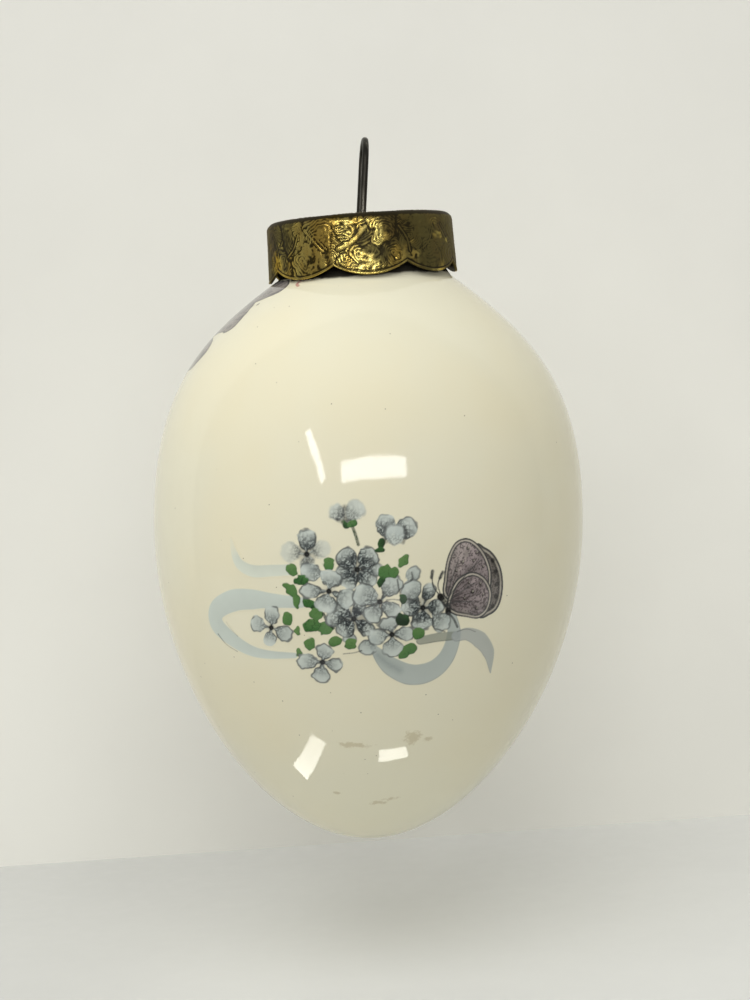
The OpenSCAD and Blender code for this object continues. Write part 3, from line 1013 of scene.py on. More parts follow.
# Points here are millimetres round from the side and millimetres above the tip, and so is
# the patch: left, right, bottom and top.
SIDE_PATCH = (-12.5, 14.5, 70.0, 85.9)
LILAC_ROOT = (-1.4, 79.0)
FAR_LILAC_WINGS = [
    [(-1.6, 80.4), (-3.6, 83.0), (-6.4, 84.2), (-9.2, 83.0), (-9.6, 80.4), (-6.4, 78.9)],
    [(-1.8, 78.0), (-4.6, 78.3), (-8.2, 77.8), (-9.6, 75.8), (-7.4, 74.0), (-4.2, 74.2)],
]
NEAR_LILAC_WINGS = [
    [(-0.8, 76.6), (2.2, 76.9), (5.2, 76.6), (7.9, 75.7), (8.7, 74.4), (7.7, 72.7),
     (5.6, 71.8), (3.0, 71.6), (0.0, 73.6)],
    [(-0.6, 78.2), (2.0, 80.9), (6.4, 82.1), (8.3, 81.1), (9.7, 79.6), (10.5, 78.2),
     (9.4, 77.5), (6.0, 77.3), (2.6, 76.9)],
    [(-0.6, 80.0), (0.6, 83.4), (4.0, 85.1), (7.9, 85.2), (9.8, 84.4), (10.3, 83.3),
     (9.0, 82.5), (7.0, 81.8), (2.2, 80.8)],
]
LILAC_SPOTS = [
    (8.2, 74.2, 0.4), (6.4, 73.4, 0.35), (4.4, 75.2, 0.4), (8.4, 78.4, 0.4),
    (5.6, 79.0, 0.35), (7.6, 83.4, 0.4), (4.6, 83.0, 0.35), (-6.6, 81.6, 0.45),
    (-6.8, 76.0, 0.4), (-4.4, 82.0, 0.3),
]
LILAC_EDGE_SPOTS = [(9.2, 81.6), (8.8, 79.9), (8.2, 78.2)]
LILAC_BODY = [(-1.5, 82.4), (-1.4, 79.5), (-1.2, 76.0), (-1.0, 74.4)]
LILAC_HEAD = (-1.5, 82.9)
HALO = (11.7, 84.8)
# The feelers, and the pink mark beside them: points, width, colour, amount, piece.
SIDE_LINES = [
    ([(-1.6, 83.3), (-2.4, 84.4), (-3.6, 85.2)], 0.2, INK_DARK, 0.9, WINGS),
    ([(-1.3, 83.4), (-0.8, 84.6), (0.3, 85.4)], 0.2, INK_DARK, 0.9, WINGS),
    ([(11.0, 85.2), (11.5, 84.6), (12.7, 84.2)], 0.42, PINK, 0.85, MARK),
    ([(11.5, 84.7), (12.0, 85.0), (12.5, 85.2)], 0.3, PINK, 0.6, MARK),
]


def up_at(height):
    """Arc length above the widest circle of a height above the tip."""
    return float(np.interp(height, OUTLINE[:, 1], ARC))


def side_points(points):
    """The side print's points, on its grid of arc lengths."""
    return [(x, up_at(height)) for x, height in points]


def paint_lilac_wing(art, outline, fill):
    """A broad soft wing with dark edges and streaks from its root."""
    (root,) = side_points([LILAC_ROOT])
    area, depth, reach, angle = wing_ground(art, side_points(outline), root)
    depth = depth + 0.35 * (grain(art.x[area], art.y[area], 1.3, 52) - 0.5)
    body = ramp(depth, -0.08, 0.08)
    colour = blend_colours(art.cloud[area], fill, LILAC_LIGHT)
    colour = blend_colours(ramp(reach, 6.0, 1.0) * 0.6, colour, LILAC_DARK)
    art.lay(area, 0.95 * body, colour, WINGS)
    ribs = grain(angle * 10 + 80, reach * 0.2, 0.5, 53)
    art.lay(area, 0.6 * body * ramp(ribs, 0.55, 0.85), LILAC_DARK)
    art.lay(area, 0.3 * body * ramp(art.fleck[area], 0.6, 0.85), LILAC_DARK)
    rim = ramp(np.abs(depth - 0.12), 0.24, 0.05)
    art.lay(area, 0.85 * rim * (0.7 + 0.6 * art.cloud[area]), INK_DARK, WINGS)


def paint_side(art):
    """A butterfly with its wings spread, and a small pink mark with a soft halo."""
    for outline in FAR_LILAC_WINGS:
        paint_lilac_wing(art, outline, LILAC * 0.9)
    for outline in NEAR_LILAC_WINGS:
        paint_lilac_wing(art, outline, LILAC)
    for x, height, radius in LILAC_SPOTS:
        art.dot(x, up_at(height), radius, INK_BLACK, 0.7, WINGS)
        art.dot(x + 0.1, up_at(height) + 0.1, radius * 0.4, LILAC_LIGHT, 0.8, WINGS)
    for x, height in LILAC_EDGE_SPOTS:
        art.dot(x, up_at(height), 0.3, LILAC_DARK, 0.9, WINGS)
    art.stroke(side_points(LILAC_BODY), 1.5, INK_BLACK, 0.95, WINGS, soft=0.15)
    head, halo = side_points([LILAC_HEAD, HALO])
    art.dot(*head, 0.8, INK_BLACK, 0.95, WINGS)
    area = art.window([halo], 2.0)
    away = np.hypot(art.x[area] - halo[0], art.y[area] - halo[1])
    art.lay(area, 0.16 * ramp(away, 1.2, 0.3), PINK, MARK)
    for points, width, colour, amount, owner in SIDE_LINES:
        art.stroke(side_points(points), width, colour, amount, owner)


def make_side_print():
    left, right, bottom, top = SIDE_PATCH
    art = Print(left, right, up_at(bottom), up_at(top))
    paint_side(art)
    material = print_material("side_print_ink")
    for owner, name in ((WINGS, "print_wings"), (MARK, "print_mark")):
        make_print(art, owner, name, SIDE_TURN, "side_decal", material)


# ---------------------------------------------------------------- cap
CAP_COLUMNS = 720
ARC_PER_DEGREE = math.radians(1) * CAP_SKIRT_RADIUS
RIDGE = 0.46
# Depth of the embossing, and the relief that is level with the plain sheet.
RELIEF = 0.10
RELIEF_LEVEL = 0.6
# Shifts that pick a stretch of noise for the band and for the lid.
BAND_SHIFT = 300
LID_SHIFT = 50


def cap_to_tip(points):
    """The cap's own millimetres, up from its top, as millimetres from the egg's tip."""
    lean = np.array(Matrix.Rotation(CAP_LEAN, 3, "Y"))
    return np.asarray(points) @ lean.T + np.array(CAP_CENTRE)


def scallop_edge(angle):
    """Height of the skirt's scalloped edge above its lowest point."""
    step = 2 * math.pi / SCALLOPS
    chord = CAP_SKIRT_RADIUS * math.sin(math.pi / SCALLOPS)
    arc = (chord**2 + SCALLOP_DEPTH**2) / (2 * SCALLOP_DEPTH)
    off = (angle - SCALLOP_TURN + step / 2) % step - step / 2
    across = CAP_SKIRT_RADIUS * np.sin(off)
    return arc - np.sqrt(arc**2 - across**2)


# Curls of the embossing on the band: azimuth in degrees from the front, height above the
# scallop tips, where its rings are centred from there, and its size.
CURLS = [
    (20.0, 2.5, 0.5, 0.1, 2.4), (-35.0, 2.9, -0.3, -0.3, 2.5), (-19.0, 3.2, 0.6, -0.4, 2.3),
    (1.0, 5.6, 0.4, 0.7, 1.9), (-7.5, 6.3, -0.9, 0.7, 1.6), (4.0, 2.6, -0.6, 0.8, 1.8),
    (-3.0, 3.4, 1.2, -0.6, 1.5), (12.0, 5.9, 1.1, 0.1, 2.2), (-45.0, 5.4, 0.8, 0.6, 2.3),
    (-28.0, 6.2, 1.0, -1.1, 2.0), (33.0, 5.0, -0.9, 0.3, 2.3), (45.0, 2.8, 0.6, 0.8, 2.4),
    (56.0, 5.4, -0.4, 0.9, 2.3), (30.0, 2.2, 1.3, -0.5, 1.7), (-56.0, 2.4, 0.7, 0.5, 2.4),
    (-12.0, 1.9, 0.9, 1.2, 1.6), (10.5, 1.4, -1.3, 0.6, 1.4), (67.0, 2.6, 0.9, -0.2, 2.3),
    (-68.0, 5.3, 0.2, -0.9, 2.3),
]


# Where curls repeat behind the front ones: azimuths, and two rows of heights.
REPEAT_AZIMUTHS = np.arange(78, 284, 10.5)
REPEAT_HEIGHTS = (2.6, 5.7)


def band_curls():
    """The curls of the front, and a loose repeat of them for the rest of the band."""
    seeded = np.random.default_rng(12)
    curls = list(CURLS)
    for degrees in REPEAT_AZIMUTHS:
        for height in REPEAT_HEIGHTS:
            curls.append((
                degrees + seeded.uniform(-2, 2), height + seeded.uniform(-0.5, 0.5),
                seeded.uniform(-1.2, 1.2), seeded.uniform(-1.0, 1.0), seeded.uniform(1.7, 2.4),
            ))
    return curls


def curled_relief(x, y, curls, round_length):
    """Relief from 0 to 1: open rings round the nearest curl, parted by grooves."""
    nearest = np.full(x.shape, 1e9)
    second = np.full(x.shape, 1e9)
    rings = np.zeros(x.shape)
    for i, (cx, cy, ring_x, ring_y, size) in enumerate(curls):
        dx = (x - cx + round_length / 2) % round_length - round_length / 2
        dy = y - cy
        away = np.hypot(dx, dy * 0.9) / size
        angle = np.arctan2(dy - ring_y, dx - ring_x)
        from_ring = np.hypot(dx - ring_x, (dy - ring_y) * 1.15) + 0.14 * np.sin(2 * angle + i)
        pitch = RIDGE * (1.0 + 0.35 * math.sin(2.3 * i))
        wave = (0.5 + 0.5 * np.cos(2 * math.pi * from_ring / pitch)) ** 1.4
        wave = wave * (0.3 + 0.7 * ramp(np.cos(angle - 2.4 * i), -0.7, 0.2))
        closer = away < nearest
        second = np.where(closer, nearest, np.minimum(second, away))
        rings = np.where(closer, wave, rings)
        nearest = np.where(closer, away, nearest)
    border = ramp(second - nearest, 0.0, 0.2)
    return rings * (0.2 + 0.8 * border) + 0.2 * border


def folded(x, y, size, seed):
    """Ridged noise from 0 to 1, like creased foil."""
    return 1 - np.abs(2 * grain(x, y, size, seed) - 1)


def stroke_relief(relief, x, y, line, half, level, round_length):
    """Presses a smooth raised band into the relief along a line."""
    middle = np.mean([p[0] for p in line])
    near_x = (x - middle + round_length / 2) % round_length - round_length / 2 + middle
    away, _, _ = nearest_on(smooth_line(line), near_x, y)
    flat = ramp(away, half, half - 0.12)
    groove = ramp(np.abs(away - half), 0.22, 0.0)
    return np.where(flat > 0, relief * (1 - flat) + level * flat, relief) - 0.45 * groove


# Smooth raised strokes across the band, repeated at each quarter turn: points as azimuth
# and height, half the width, and relief.
BAND_STROKES = [
    ([(3.5, 6.9), (-2.5, 5.3), (-8.0, 4.4), (-13.5, 3.9)], 0.42, 0.85),
    ([(-34.0, 6.8), (-28.5, 5.2), (-23.0, 3.7)], 0.2, 0.9),
    ([(-31.5, 7.0), (-26.0, 5.4), (-20.5, 3.9)], 0.16, 0.75),
    ([(24.0, 6.8), (29.0, 4.9), (30.5, 3.0)], 0.2, 0.7),
    ([(-50.0, 3.4), (-44.0, 4.6), (-40.0, 6.6)], 0.2, 0.75),
]
# Azimuths on the band where the embossing is crispest, and where the painted sheen makes the brass
# brightest.
CRISPEST = -20
SHEEN_CENTRE = -17


def degrees_from(place, degrees):
    """Degrees round the band from a place, from -180 to 180."""
    return (degrees - place + 180) % 360 - 180


def band_relief(degrees, height):
    """The band's relief from 0 to 1, at azimuths from the front and heights above the
    scallop tips."""
    x, y = degrees * ARC_PER_DEGREE, height
    shifted = x + BAND_SHIFT
    round_length = 360 * ARC_PER_DEGREE
    curls = [(azimuth * ARC_PER_DEGREE, *rest) for azimuth, *rest in band_curls()]
    warp_x, warp_y = [
        0.8 * (grain(shifted, y, 1.5, seed) - 0.5) + 0.4 * (grain(shifted, y, 0.6, seed + 1) - 0.5)
        for seed in (61, 64)
    ]
    relief = curled_relief(x + warp_x, y + warp_y, curls, round_length)
    creased = 0.7 * folded(shifted, y, 0.8, 67) ** 2 + 0.4 * folded(shifted, y, 0.4, 68) ** 2
    patch = 0.75 * ramp(grain(shifted, y, 2.1, 66), 0.45, 0.62)
    relief = relief * (1 - patch) + patch * creased
    for turn in range(0, 360, 90):
        for line, half, level in BAND_STROKES:
            band = [((azimuth + turn) * ARC_PER_DEGREE, h) for azimuth, h in line]
            relief = stroke_relief(relief, x, y, band, half, level, round_length)
    relief = relief + 0.30 * (grain(shifted, y, 0.32, 63) - 0.5)
    crisp = 0.45 + 0.55 * ramp(np.abs(degrees_from(CRISPEST, degrees)), 68, 40)
    relief = 0.5 + (relief - 0.5) * crisp
    edge = height - scallop_edge(np.radians(degrees - 90))
    relief = relief - 0.5 * ramp(np.abs(edge - 0.42), 0.16, 0.02)
    relief = np.where(edge < 0.34, ramp(edge, 0.34, 0.22), relief)
    return np.clip(relief, 0, 1) * ramp(height, 8.8, 8.2)


def band_wear_and_sheen(degrees, height):
    """How far the tarnish is rubbed off the band, from 0 to 1, with a painted sheen in it: most a
    little left of its front, where the lamps reflect, and less near the lid and, as painted shade,
    far round the sides."""
    x = degrees * ARC_PER_DEGREE + BAND_SHIFT
    wear_and_sheen = 0.55 * grain(x, height, 2.6, 71) + 0.35 * grain(x, height, 0.9, 72)
    off = degrees_from(SHEEN_CENTRE, degrees)
    # Painted sheen: brighter brass a little left of the front, darker far round the sides.
    side = 0.40 * np.exp(-((off / 26) ** 2)) - 0.13 - 0.12 * ramp(np.abs(off + 6), 40, 55)
    low = 0.12 * ramp(height, 4.0, 1.0) - 0.22 * ramp(height, 7.6, 8.8)
    return np.clip(wear_and_sheen + side + low, 0, 1)


# The lid's rings of curls, each with its radius and count, and the middle they leave.
LID_CURLS = ((10.6, 12), (6.6, 8))
LID_MIDDLE = 4.6
NO_WRAP = 1000.0


def top_relief(x, y):
    """The lid's relief: rings of curls round a middle of shallow circles."""
    seeded = np.random.default_rng(5)
    curls = []
    for radius, count in LID_CURLS:
        for k in range(count):
            angle = 2 * math.pi * (k + 0.4) / count
            curls.append((
                radius * math.cos(angle), radius * math.sin(angle),
                seeded.uniform(-1.2, 1.2), seeded.uniform(-1.2, 1.2), 2.4,
            ))
    radius = np.hypot(x, y)
    relief = curled_relief(x, y, curls, NO_WRAP)
    rings = 0.5 + 0.5 * np.cos(2 * math.pi * radius / 0.9)
    relief = np.where(radius < LID_MIDDLE, 0.35 * rings, relief)
    return np.clip(relief, 0, 1) * ramp(radius, 12.7, 12.3)


# Rows of the cap from its lid's middle, over the corner, down the skirt, and back up the
# inside: the kind of row, and how far along each row of it lies.
CAP_ROWS = [
    ("lid", np.linspace(0, 1, 40)[1:]),
    ("corner", np.linspace(0, 1, 15)[1:]),
    ("skirt", np.linspace(0, 1, 66)[1:]),
    ("lip", (0.35, 0.65)),
    ("inside", np.linspace(1, 0, 10)),
    ("inner_corner", (0.75, 0.5, 0.25)),
    ("under", np.linspace(1, 0, 6)[:-1]),
]
FLARE = (CAP_SKIRT_RADIUS - CAP_TOP_RADIUS) / (CAP_HEIGHT - CAP_CORNER)


def cap_row(kind, t, angle):
    """One ring of the cap: radius, height, relief, and wear with painted sheen, for each angle."""
    still = np.zeros(angle.shape)
    straight = CAP_TOP_RADIUS - CAP_CORNER
    edge = scallop_edge(angle) - CAP_HEIGHT
    degrees = np.degrees(angle) + 90
    if kind == "lid":
        radius = straight * t
        x, y = radius * np.cos(angle), radius * np.sin(angle)
        relief = top_relief(x, y)
        x, y = x + LID_SHIFT, y + LID_SHIFT
        wear_and_sheen = 0.6 * grain(x, y, 2.6, 73) + 0.3 * grain(x, y, 0.9, 74)
        return radius + still, still + RELIEF * (relief - RELIEF_LEVEL), relief, wear_and_sheen
    if kind == "corner":
        turn = t * math.pi / 2
        unrolled = CAP_HEIGHT - CAP_CORNER + CAP_CORNER * (math.pi / 2 - turn)
        relief = band_relief(degrees, still + unrolled)
        wear_and_sheen = band_wear_and_sheen(degrees, still + unrolled)
        out = CAP_CORNER + RELIEF * (relief - RELIEF_LEVEL)
        return straight + out * math.sin(turn), out * math.cos(turn) - CAP_CORNER, relief, wear_and_sheen
    height = -CAP_CORNER + t * (edge + CAP_CORNER)
    radius = CAP_TOP_RADIUS + FLARE * (-CAP_CORNER - height)
    if kind == "skirt":
        relief = band_relief(degrees, height + CAP_HEIGHT)
        wear_and_sheen = band_wear_and_sheen(degrees, height + CAP_HEIGHT)
        return radius + RELIEF * (relief - RELIEF_LEVEL), height, relief, wear_and_sheen
    if kind == "lip":
        bottom = CAP_TOP_RADIUS + FLARE * (-CAP_CORNER - edge)
        drop = 0.04 * (1 - abs(2 * t - 1))
        wear_and_sheen = band_wear_and_sheen(degrees, still + 0.5)
        return bottom - CAP_SHEET * t, edge - drop, still + 0.8, wear_and_sheen
    if kind == "inside":
        return radius - CAP_SHEET, height, still, still
    if kind == "inner_corner":
        inner = CAP_CORNER - CAP_SHEET
        return (
            straight + inner * math.sin(t * math.pi / 2) + still,
            still - CAP_CORNER + inner * math.cos(t * math.pi / 2),
            still,
            still,
        )
    return straight * t + still, still - CAP_SHEET, still, still


# A box's faces, with its lower corners 0 to 3 taken round, and its upper ones 4 to 7.
BOX_FACES = [
    (3, 2, 1, 0), (4, 5, 6, 7), (0, 1, 5, 4), (1, 2, 6, 5), (2, 3, 7, 6), (3, 0, 4, 7),
]


def slot_cutter(name):
    """Two blocks in one object, where the wire's slots go through the lid."""
    points, faces = [], []
    turn = np.array(Matrix.Rotation(WIRE_TURN, 3, "Z"))
    for side in (-1, 1):
        corners = [
            (SLOT_SHIFT + sx * SLOT_LENGTH / 2, side * ARCH_RADIUS + sy * SLOT_WIDTH / 2, sz)
            for sz in SLOT_CUT for sx, sy in ((-1, -1), (1, -1), (1, 1), (-1, 1))
        ]
        first = len(points)
        points += (np.array(corners) @ turn.T).tolist()
        faces += [[first + k for k in face] for face in BOX_FACES]
    mesh = bpy.data.meshes.new(name)
    mesh.from_pydata(placed(cap_to_tip(points)).tolist(), [], faces)
    cutter = bpy.data.objects.new(name, mesh)
    bpy.context.scene.collection.objects.link(cutter)
    return cutter


def cut_slots(cap):
    """Cuts the wire's slots through the lid, and drops the cutter."""
    cutter = slot_cutter("slot_cutter")
    cut = cap.modifiers.new("slots", "BOOLEAN")
    cut.operation = "DIFFERENCE"
    cut.solver = "MANIFOLD"
    cut.object = cutter
    bpy.context.view_layer.update()
    result = bpy.data.meshes.new_from_object(
        cap.evaluated_get(bpy.context.evaluated_depsgraph_get())
    )
    cap.modifiers.clear()
    cap.data = result
    bpy.data.objects.remove(cutter)


BRASS = linear(212, 194, 112)
BRASS_WARM = linear(186, 156, 76)
PATINA = linear(68, 63, 36)
PATINA_BROWN = linear(72, 57, 31)
TARNISH = linear(38, 33, 19)
BRASS_EDGE = linear(180, 172, 150)


def brass_material():
    """Embossed brass: bright on the raised lines, dark in the grooves, with brown and
    olive tarnish that thins where the cap is handled, and a painted sheen: brighter brass
    a little left of the band's front, where the lamps reflect, and darker far round its sides."""
    shader = Shader("aged_brass", Specular_Tint=rgba(BRASS_EDGE))
    relief = shader.attribute("relief")
    wear_and_sheen = shader.attribute("wear_and_sheen")
    raised = shader.spread(relief, 0.1, 0.6)
    # The rubbed share also carries the band's painted sheen.
    rubbed = shader.math("ADD", wear_and_sheen, shader.times(relief, 0.22))
    rubbed = shader.spread(rubbed, 0.40, 0.90)
    streak = shader.noise(260.0, 4.0, 0.6, stretch=(1.0, 1.0, 0.3))
    metal = shader.mix(shader.spread(streak, 0.35, 0.65), rgba(BRASS), rgba(BRASS_WARM))
    brown = shader.spread(shader.noise(140.0, 3.0), 0.45, 0.65)
    aged = shader.mix(brown, rgba(PATINA), rgba(PATINA_BROWN))
    colour = shader.mix(shader.spread(rubbed, 0.0, 1.0, 0.10, 0.95), aged, metal)
    colour = shader.mix(shader.spread(raised, 0.0, 1.0, 0.92, 0.0), colour, rgba(TARNISH))
    shader.drive("Base Color", colour)
    shader.drive("Metallic", shader.spread(rubbed, 0.0, 1.0, 0.62, 1.0))
    shader.drive("Roughness", shader.spread(rubbed, 0.0, 1.0, 0.46, 0.24))
    shader.drive("Normal", shader.bump(shader.noise(2600.0, 3.0), 0.25, 0.00004))
    return shader.material


# Relief and wear at the middle of the lid, and at the middle of its underside.
MIDDLES = [0.3, 0.0]


def make_cap():
    angle = 2 * math.pi * np.arange(CAP_COLUMNS) / CAP_COLUMNS
    rows = [cap_row(kind, t, angle) for kind, shares in CAP_ROWS for t in shares]
    rings = [
        np.stack([radius * np.cos(angle), radius * np.sin(angle), height], -1)
        for radius, height, _, _ in rows
    ]
    points = np.vstack([*rings, (0, 0, 0), (0, 0, -CAP_SHEET)])
    faces = [face[::-1] for face in closed_faces(len(rings), CAP_COLUMNS)]
    cap = new_piece("cap_embossed", placed(cap_to_tip(points)), faces, "cap")
    add_attribute(cap, "relief", np.concatenate([*[row[2] for row in rows], MIDDLES]))
    add_attribute(cap, "wear_and_sheen", np.concatenate([*[row[3] for row in rows], MIDDLES]))
    cap.data.materials.append(brass_material())
    cut_slots(cap)
    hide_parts("cap")


# ---------------------------------------------------------------- hanger
def arc_points(centre, radius, start, end, count):
    angle = np.linspace(start, end, count)
    return np.stack([centre[0] + radius * np.cos(angle), centre[1] + radius * np.sin(angle)], -1)


def leg_path():
    """One side of the wire from its crown to its tail, as y and z above the slots."""
    arch = arc_points((0, LOOP_HEIGHT - ARCH_RADIUS), ARCH_RADIUS, math.pi / 2, 0, 40)
    leg_heights = np.linspace(LOOP_HEIGHT - ARCH_RADIUS, -LEG_DROP, 32)[1:-1]
    leg = np.stack([0 * leg_heights + ARCH_RADIUS, leg_heights], -1)
    elbow = arc_points(
        (ARCH_RADIUS + ELBOW_RADIUS, -LEG_DROP), ELBOW_RADIUS, math.pi, math.pi + LEG_SPLAY, 14
    )
    slant = (
        KNEE_REACH - KNEE_RADIUS + KNEE_RADIUS * math.cos(LEG_SPLAY) - elbow[-1][0]
    ) / math.sin(LEG_SPLAY)
    knee_height = (
        elbow[-1][1] - slant * math.cos(LEG_SPLAY) - KNEE_RADIUS * math.sin(LEG_SPLAY)
    )
    knee = arc_points(
        (KNEE_REACH - KNEE_RADIUS, knee_height), KNEE_RADIUS, LEG_SPLAY, -TAIL_TUCK, 16
    )
    tail_way = np.array([-math.sin(TAIL_TUCK), -math.cos(TAIL_TUCK)])
    tail = knee[-1] + np.linspace(0, TAIL_LENGTH, 24)[1:, None] * tail_way
    return np.vstack([arch, leg, elbow, knee, tail])


def wire_path():
    """The wire's middle line from tail to tail, and its radii, which round off its ends."""
    half = leg_path()
    flat = np.vstack([half[1:][::-1] * (-1, 1), half])
    path = np.stack([0 * flat[:, 0], flat[:, 0], flat[:, 1]], -1)
    swell = np.linspace(0, 1, 7)[1:-1]
    ends = WIRE_RADIUS * np.sqrt(1 - (1 - swell) ** 2)
    steps = WIRE_RADIUS * (1 - swell)[:, None]
    first_way = (path[0] - path[1]) / np.linalg.norm(path[0] - path[1])
    last_way = (path[-1] - path[-2]) / np.linalg.norm(path[-1] - path[-2])
    radii = np.concatenate([ends, np.full(len(path), WIRE_RADIUS), ends[::-1]])
    path = np.vstack([path[0] + steps * first_way, path, path[-1] + steps[::-1] * last_way])
    return path, radii


def tube(path, radii, sides):
    """Points and faces of a closed tube along a flat path, with a radius for each point
    and side."""
    ahead = np.gradient(path, axis=0)
    ahead = ahead / np.linalg.norm(ahead, axis=1)[:, None]
    across = np.cross(ahead, (1.0, 0.0, 0.0))
    across = across / np.linalg.norm(across, axis=1)[:, None]
    third = np.cross(ahead, across)
    angle = 2 * math.pi * np.arange(sides) / sides
    ring = across[:, None, :] * np.cos(angle)[:, None] + third[:, None, :] * np.sin(angle)[:, None]
    points = path[:, None, :] + ring * radii[..., None]
    points = np.vstack([points.reshape(-1, 3), path[:1], path[-1:]])
    return points, closed_faces(len(path), sides)


STEEL_OXIDE = linear(58, 56, 50)
STEEL_RUBBED = linear(120, 116, 106)
RUST = linear(92, 64, 42)
# How deep the wire's shallow dents are.
WIRE_DENT = 0.012


def steel_material():
    """Spring wire gone dark: a thin black oxide with lighter rubbed streaks."""
    shader = Shader("dark_wire")
    rubbed = shader.spread(shader.noise(700.0, 4.0, 0.6, stretch=(1.0, 1.0, 0.12)), 0.45, 0.75)
    colour = shader.mix(rubbed, rgba(STEEL_OXIDE), rgba(STEEL_RUBBED))
    rust = shader.spread(shader.noise(380.0, 5.0, 0.7), 0.62, 0.75, 0.0, 0.5)
    shader.drive("Base Color", shader.mix(rust, colour, rgba(RUST)))
    shader.drive("Metallic", shader.spread(rust, 0.0, 0.5, 0.95, 0.5))
    shader.drive("Roughness", shader.spread(rubbed, 0.0, 1.0, 0.42, 0.26))
    shader.drive("Normal", shader.bump(shader.noise(1800.0, 3.0), 0.3, 0.00005))
    return shader.material


def make_hanger():
    path, radii = wire_path()
    angle = 2 * math.pi * np.arange(WIRE_SIDES) / WIRE_SIDES
    along = np.arange(len(path))[:, None]
    dent = WIRE_DENT * np.sin(0.37 * along + 2 * angle) * np.sin(0.11 * along + 1.0)
    points, faces = tube(path, radii[:, None] * (1 - np.abs(dent) / WIRE_RADIUS), WIRE_SIDES)
    lean = np.array(Matrix.Rotation(WIRE_TURN, 3, "Z") @ Matrix.Rotation(WIRE_LEAN, 3, "Y"))
    points = points @ lean.T + np.array(WIRE_HINGE)
    hanger = new_piece("hanger_wire", placed(points), faces, "hanger")
    hanger.data.materials.append(steel_material())
    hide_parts("hanger")


# ---------------------------------------------------------------- stage and camera
FLOOR_DROP = 20.0
FLOOR_RISE = math.radians(4.04)
WALL_BEHIND = 83.0
STAGE_HALF = 420.0
FLOOR_PALE = linear(224, 225, 222)
WALL_PALE = linear(231, 230, 222)
# Where the painted shade on the boards ends and begins, in millimetres from the frame's origin:
# the deep shade far in front, along Y, and the light one to the left, along X.
FRONT_SHADE = (-105.0, -62.0)
LEFT_SHADE = (-55.0, -10.0)


def stage_material(name, colour, roughness, in_front, on_left):
    """A plain pale board, seen from its front only, with painted shade far in front of the egg
    and to its left: what is left of its paleness there."""
    shader = Shader(name)
    place = shader.add("SeparateXYZ", {0: shader.position()}).outputs
    shade = shader.spread(shader.noise(24.0, 3.0), 0.3, 0.7, 0.97, 1.0)
    # Painted shade: the board's colour falls off far in front of the egg and to its left.
    for axis, (deep, clear), left in (("Y", FRONT_SHADE, in_front), ("X", LEFT_SHADE, on_left)):
        shade = shader.times(shade, shader.spread(place[axis], deep * MM, clear * MM, left, 1.0))
    grey = shader.add("CombineColor", {0: shade, 1: shade, 2: shade}).outputs[0]
    shader.drive("Base Color", shader.mix(1.0, rgba(colour), grey, "MULTIPLY"))
    gloss = shader.spread(shader.noise(300.0, 3.0), 0.2, 0.8, roughness, roughness + 0.08)
    shader.drive("Roughness", gloss)
    unseen = shader.add("BsdfTransparent")
    behind = shader.add("NewGeometry").outputs["Backfacing"]
    choice = shader.add("MixShader", {0: behind})
    shader.tree.links.new(shader.surface.outputs[0], choice.inputs[1])
    shader.tree.links.new(unseen.outputs[0], choice.inputs[2])
    output = shader.tree.nodes["Material Output"]
    shader.tree.links.new(choice.outputs[0], output.inputs["Surface"])
    return shader.material


def stage_board(name, corners, material):
    mesh = bpy.data.meshes.new(name)
    mesh.from_pydata(placed(corners).tolist(), [], [(0, 1, 2, 3)])
    board = bpy.data.objects.new(name, mesh)
    board.data.materials.append(material)
    bpy.context.scene.collection.objects.link(board)


def floor_height(x, drop=FLOOR_DROP):
    """Height of the slightly sloping floor, or of a level this far below the tip."""
    return -drop + x * math.tan(FLOOR_RISE)


def make_stage():
    left, right = -STAGE_HALF, STAGE_HALF
    stage_board("floor", [
        (left, -2 * STAGE_HALF, floor_height(left)), (right, -2 * STAGE_HALF, floor_height(right)),
        (right, WALL_BEHIND, floor_height(right)), (left, WALL_BEHIND, floor_height(left)),
    ], stage_material("floor_board", FLOOR_PALE, 0.14, 0.10, 0.84))
    stage_board("wall", [
        (left, WALL_BEHIND, floor_height(left)), (right, WALL_BEHIND, floor_height(right)),
        (right, WALL_BEHIND, 2 * STAGE_HALF), (left, WALL_BEHIND, 2 * STAGE_HALF),
    ], stage_material("wall_board", WALL_PALE, 0.5, 1.0, 1.0))


# A point on the egg's front that the lamps are aimed at.
LIT_POINT = (0.0, -31.0, 60.0)


def area_light(name, azimuth, elevation, distance, size, roll, radiance, reach):
    """A soft box that faces the egg's front. Azimuth is to the right of the front, and
    radiance is how bright it looks. It reaches matt surfaces, gloss, or all of them."""
    a, e = math.radians(azimuth), math.radians(elevation)
    way = Vector((math.sin(a) * math.cos(e), -math.cos(a) * math.cos(e), math.sin(e)))
    lamp = bare_light(name, size, radiance, (1.0, 1.0, 1.0))
    lamp.location = Vector(placed(LIT_POINT)) + way * distance * MM
    turn = (-way).to_track_quat("-Z", "Y")
    lamp.rotation_mode = "QUATERNION"
    lamp.rotation_quaternion = turn @ Quaternion((0, 0, 1), math.radians(roll))
    lamp.visible_glossy = reach != "matt"
    lamp.visible_diffuse = reach != "gloss"


def bare_light(name, size, radiance, tint):
    data = bpy.data.lights.new(name, "AREA")
    data.shape = "RECTANGLE"
    data.size, data.size_y = size[0] * MM, size[1] * MM
    data.energy = radiance * math.pi * data.size * data.size_y
    data.color = tint
    lamp = bpy.data.objects.new(name, data)
    lamp.visible_camera = False
    bpy.context.scene.collection.objects.link(lamp)
    return lamp


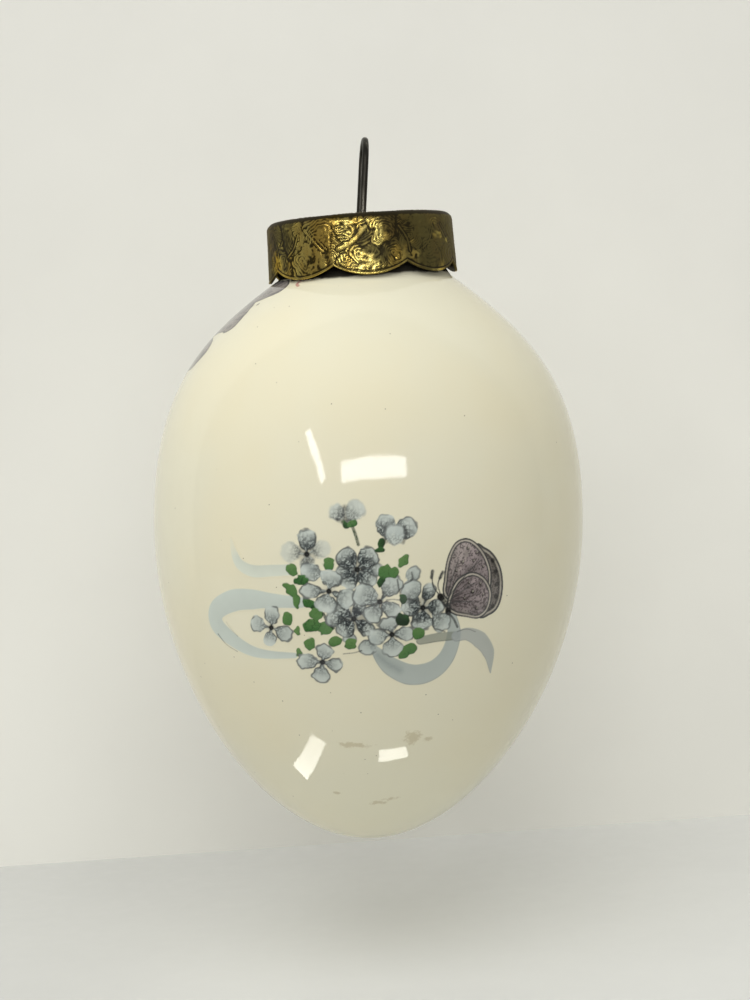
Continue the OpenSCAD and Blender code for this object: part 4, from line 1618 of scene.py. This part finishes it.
# The lamps' gleams on a glossy table top, mirrored in the glaze above it: the table's level
# below the tip, and each gleam's name, place, size, roll and radiance.
GLINT_DROP = 8.3
GLINT_TINT = (1.0, 0.98, 0.9)
GLINTS = [
    ("glint_strip", -21.0, -23.5, (6.5, 19.0), 8.0, 7.5),
    ("glint_front", 8.8, -29.7, (10.5, 4.2), 4.0, 9.0),
]


def floor_glint(name, x, y, size, roll, radiance):
    """A small upward lamp that only shows as a reflection."""
    lamp = bare_light(name, size, radiance, GLINT_TINT)
    lamp.location = placed((x, y, floor_height(x, GLINT_DROP)))
    lamp.rotation_euler = (math.pi, 0, math.radians(roll))
    lamp.visible_diffuse = False


# Name, azimuth, elevation, distance, size, roll, radiance, and the surfaces it reaches.
SOFT_BOXES = [
    ("lamp_front", 3.0, 15.0, 680, (416, 92), 3.0, 6.5, "all"),
    ("gleam_front", 3.0, 15.0, 679, (416, 92), 3.0, 2.8, "gloss"),
    ("lamp_strip", -30.5, 19.5, 680, (42, 250), 33.0, 6.5, "all"),
    ("gleam_strip", -30.5, 19.5, 679, (42, 250), 33.0, 3.3, "gloss"),
    ("sky_front", -10.0, 48.0, 900, (1000, 700), 0.0, 2.75, "matt"),
    ("left_low", -85.0, 12.0, 900, (700, 700), 0.0, 1.22, "matt"),
]
ROOM_TINT = (1.0, 0.99, 0.96, 1.0)
ROOM_STRENGTH = 0.34


def make_lights():
    for box in SOFT_BOXES:
        area_light(*box)
    for glint in GLINTS:
        floor_glint(*glint)
    world = bpy.data.worlds.new("room")
    world.use_nodes = True
    room = world.node_tree.nodes["Background"]
    room.inputs["Color"].default_value = ROOM_TINT
    room.inputs["Strength"].default_value = ROOM_STRENGTH
    bpy.context.scene.world = world


CAMERA_DISTANCE = 330.0
CAMERA_PITCH = math.radians(4.0)
CAMERA_TARGET = (1.0, 0.0, 52.0)
# Lens from the object's scale in the picture: 6.54 of its 1000 rows to a millimetre.
FOCAL_ROWS = 6.54 * CAMERA_DISTANCE
SENSOR_HEIGHT = 24.0


def make_camera():
    data = bpy.data.cameras.new("camera")
    data.sensor_fit = "VERTICAL"
    data.sensor_height = SENSOR_HEIGHT
    data.lens = SENSOR_HEIGHT * FOCAL_ROWS / 1000
    data.clip_start = 0.01
    data.clip_end = 10.0
    camera = bpy.data.objects.new("camera", data)
    x, y, z = CAMERA_TARGET
    back = CAMERA_DISTANCE * math.cos(CAMERA_PITCH)
    above = CAMERA_DISTANCE * math.sin(CAMERA_PITCH)
    camera.location = placed((x, y - back, z + above))
    camera.rotation_euler = (math.pi / 2 - CAMERA_PITCH, 0, 0)
    bpy.context.scene.collection.objects.link(camera)
    bpy.context.scene.camera = camera


bpy.context.scene.view_settings.view_transform = "Standard"
make_camera()
make_egg()
make_front_print()
make_side_print()
make_cap()
make_hanger()
make_stage()
make_lights()
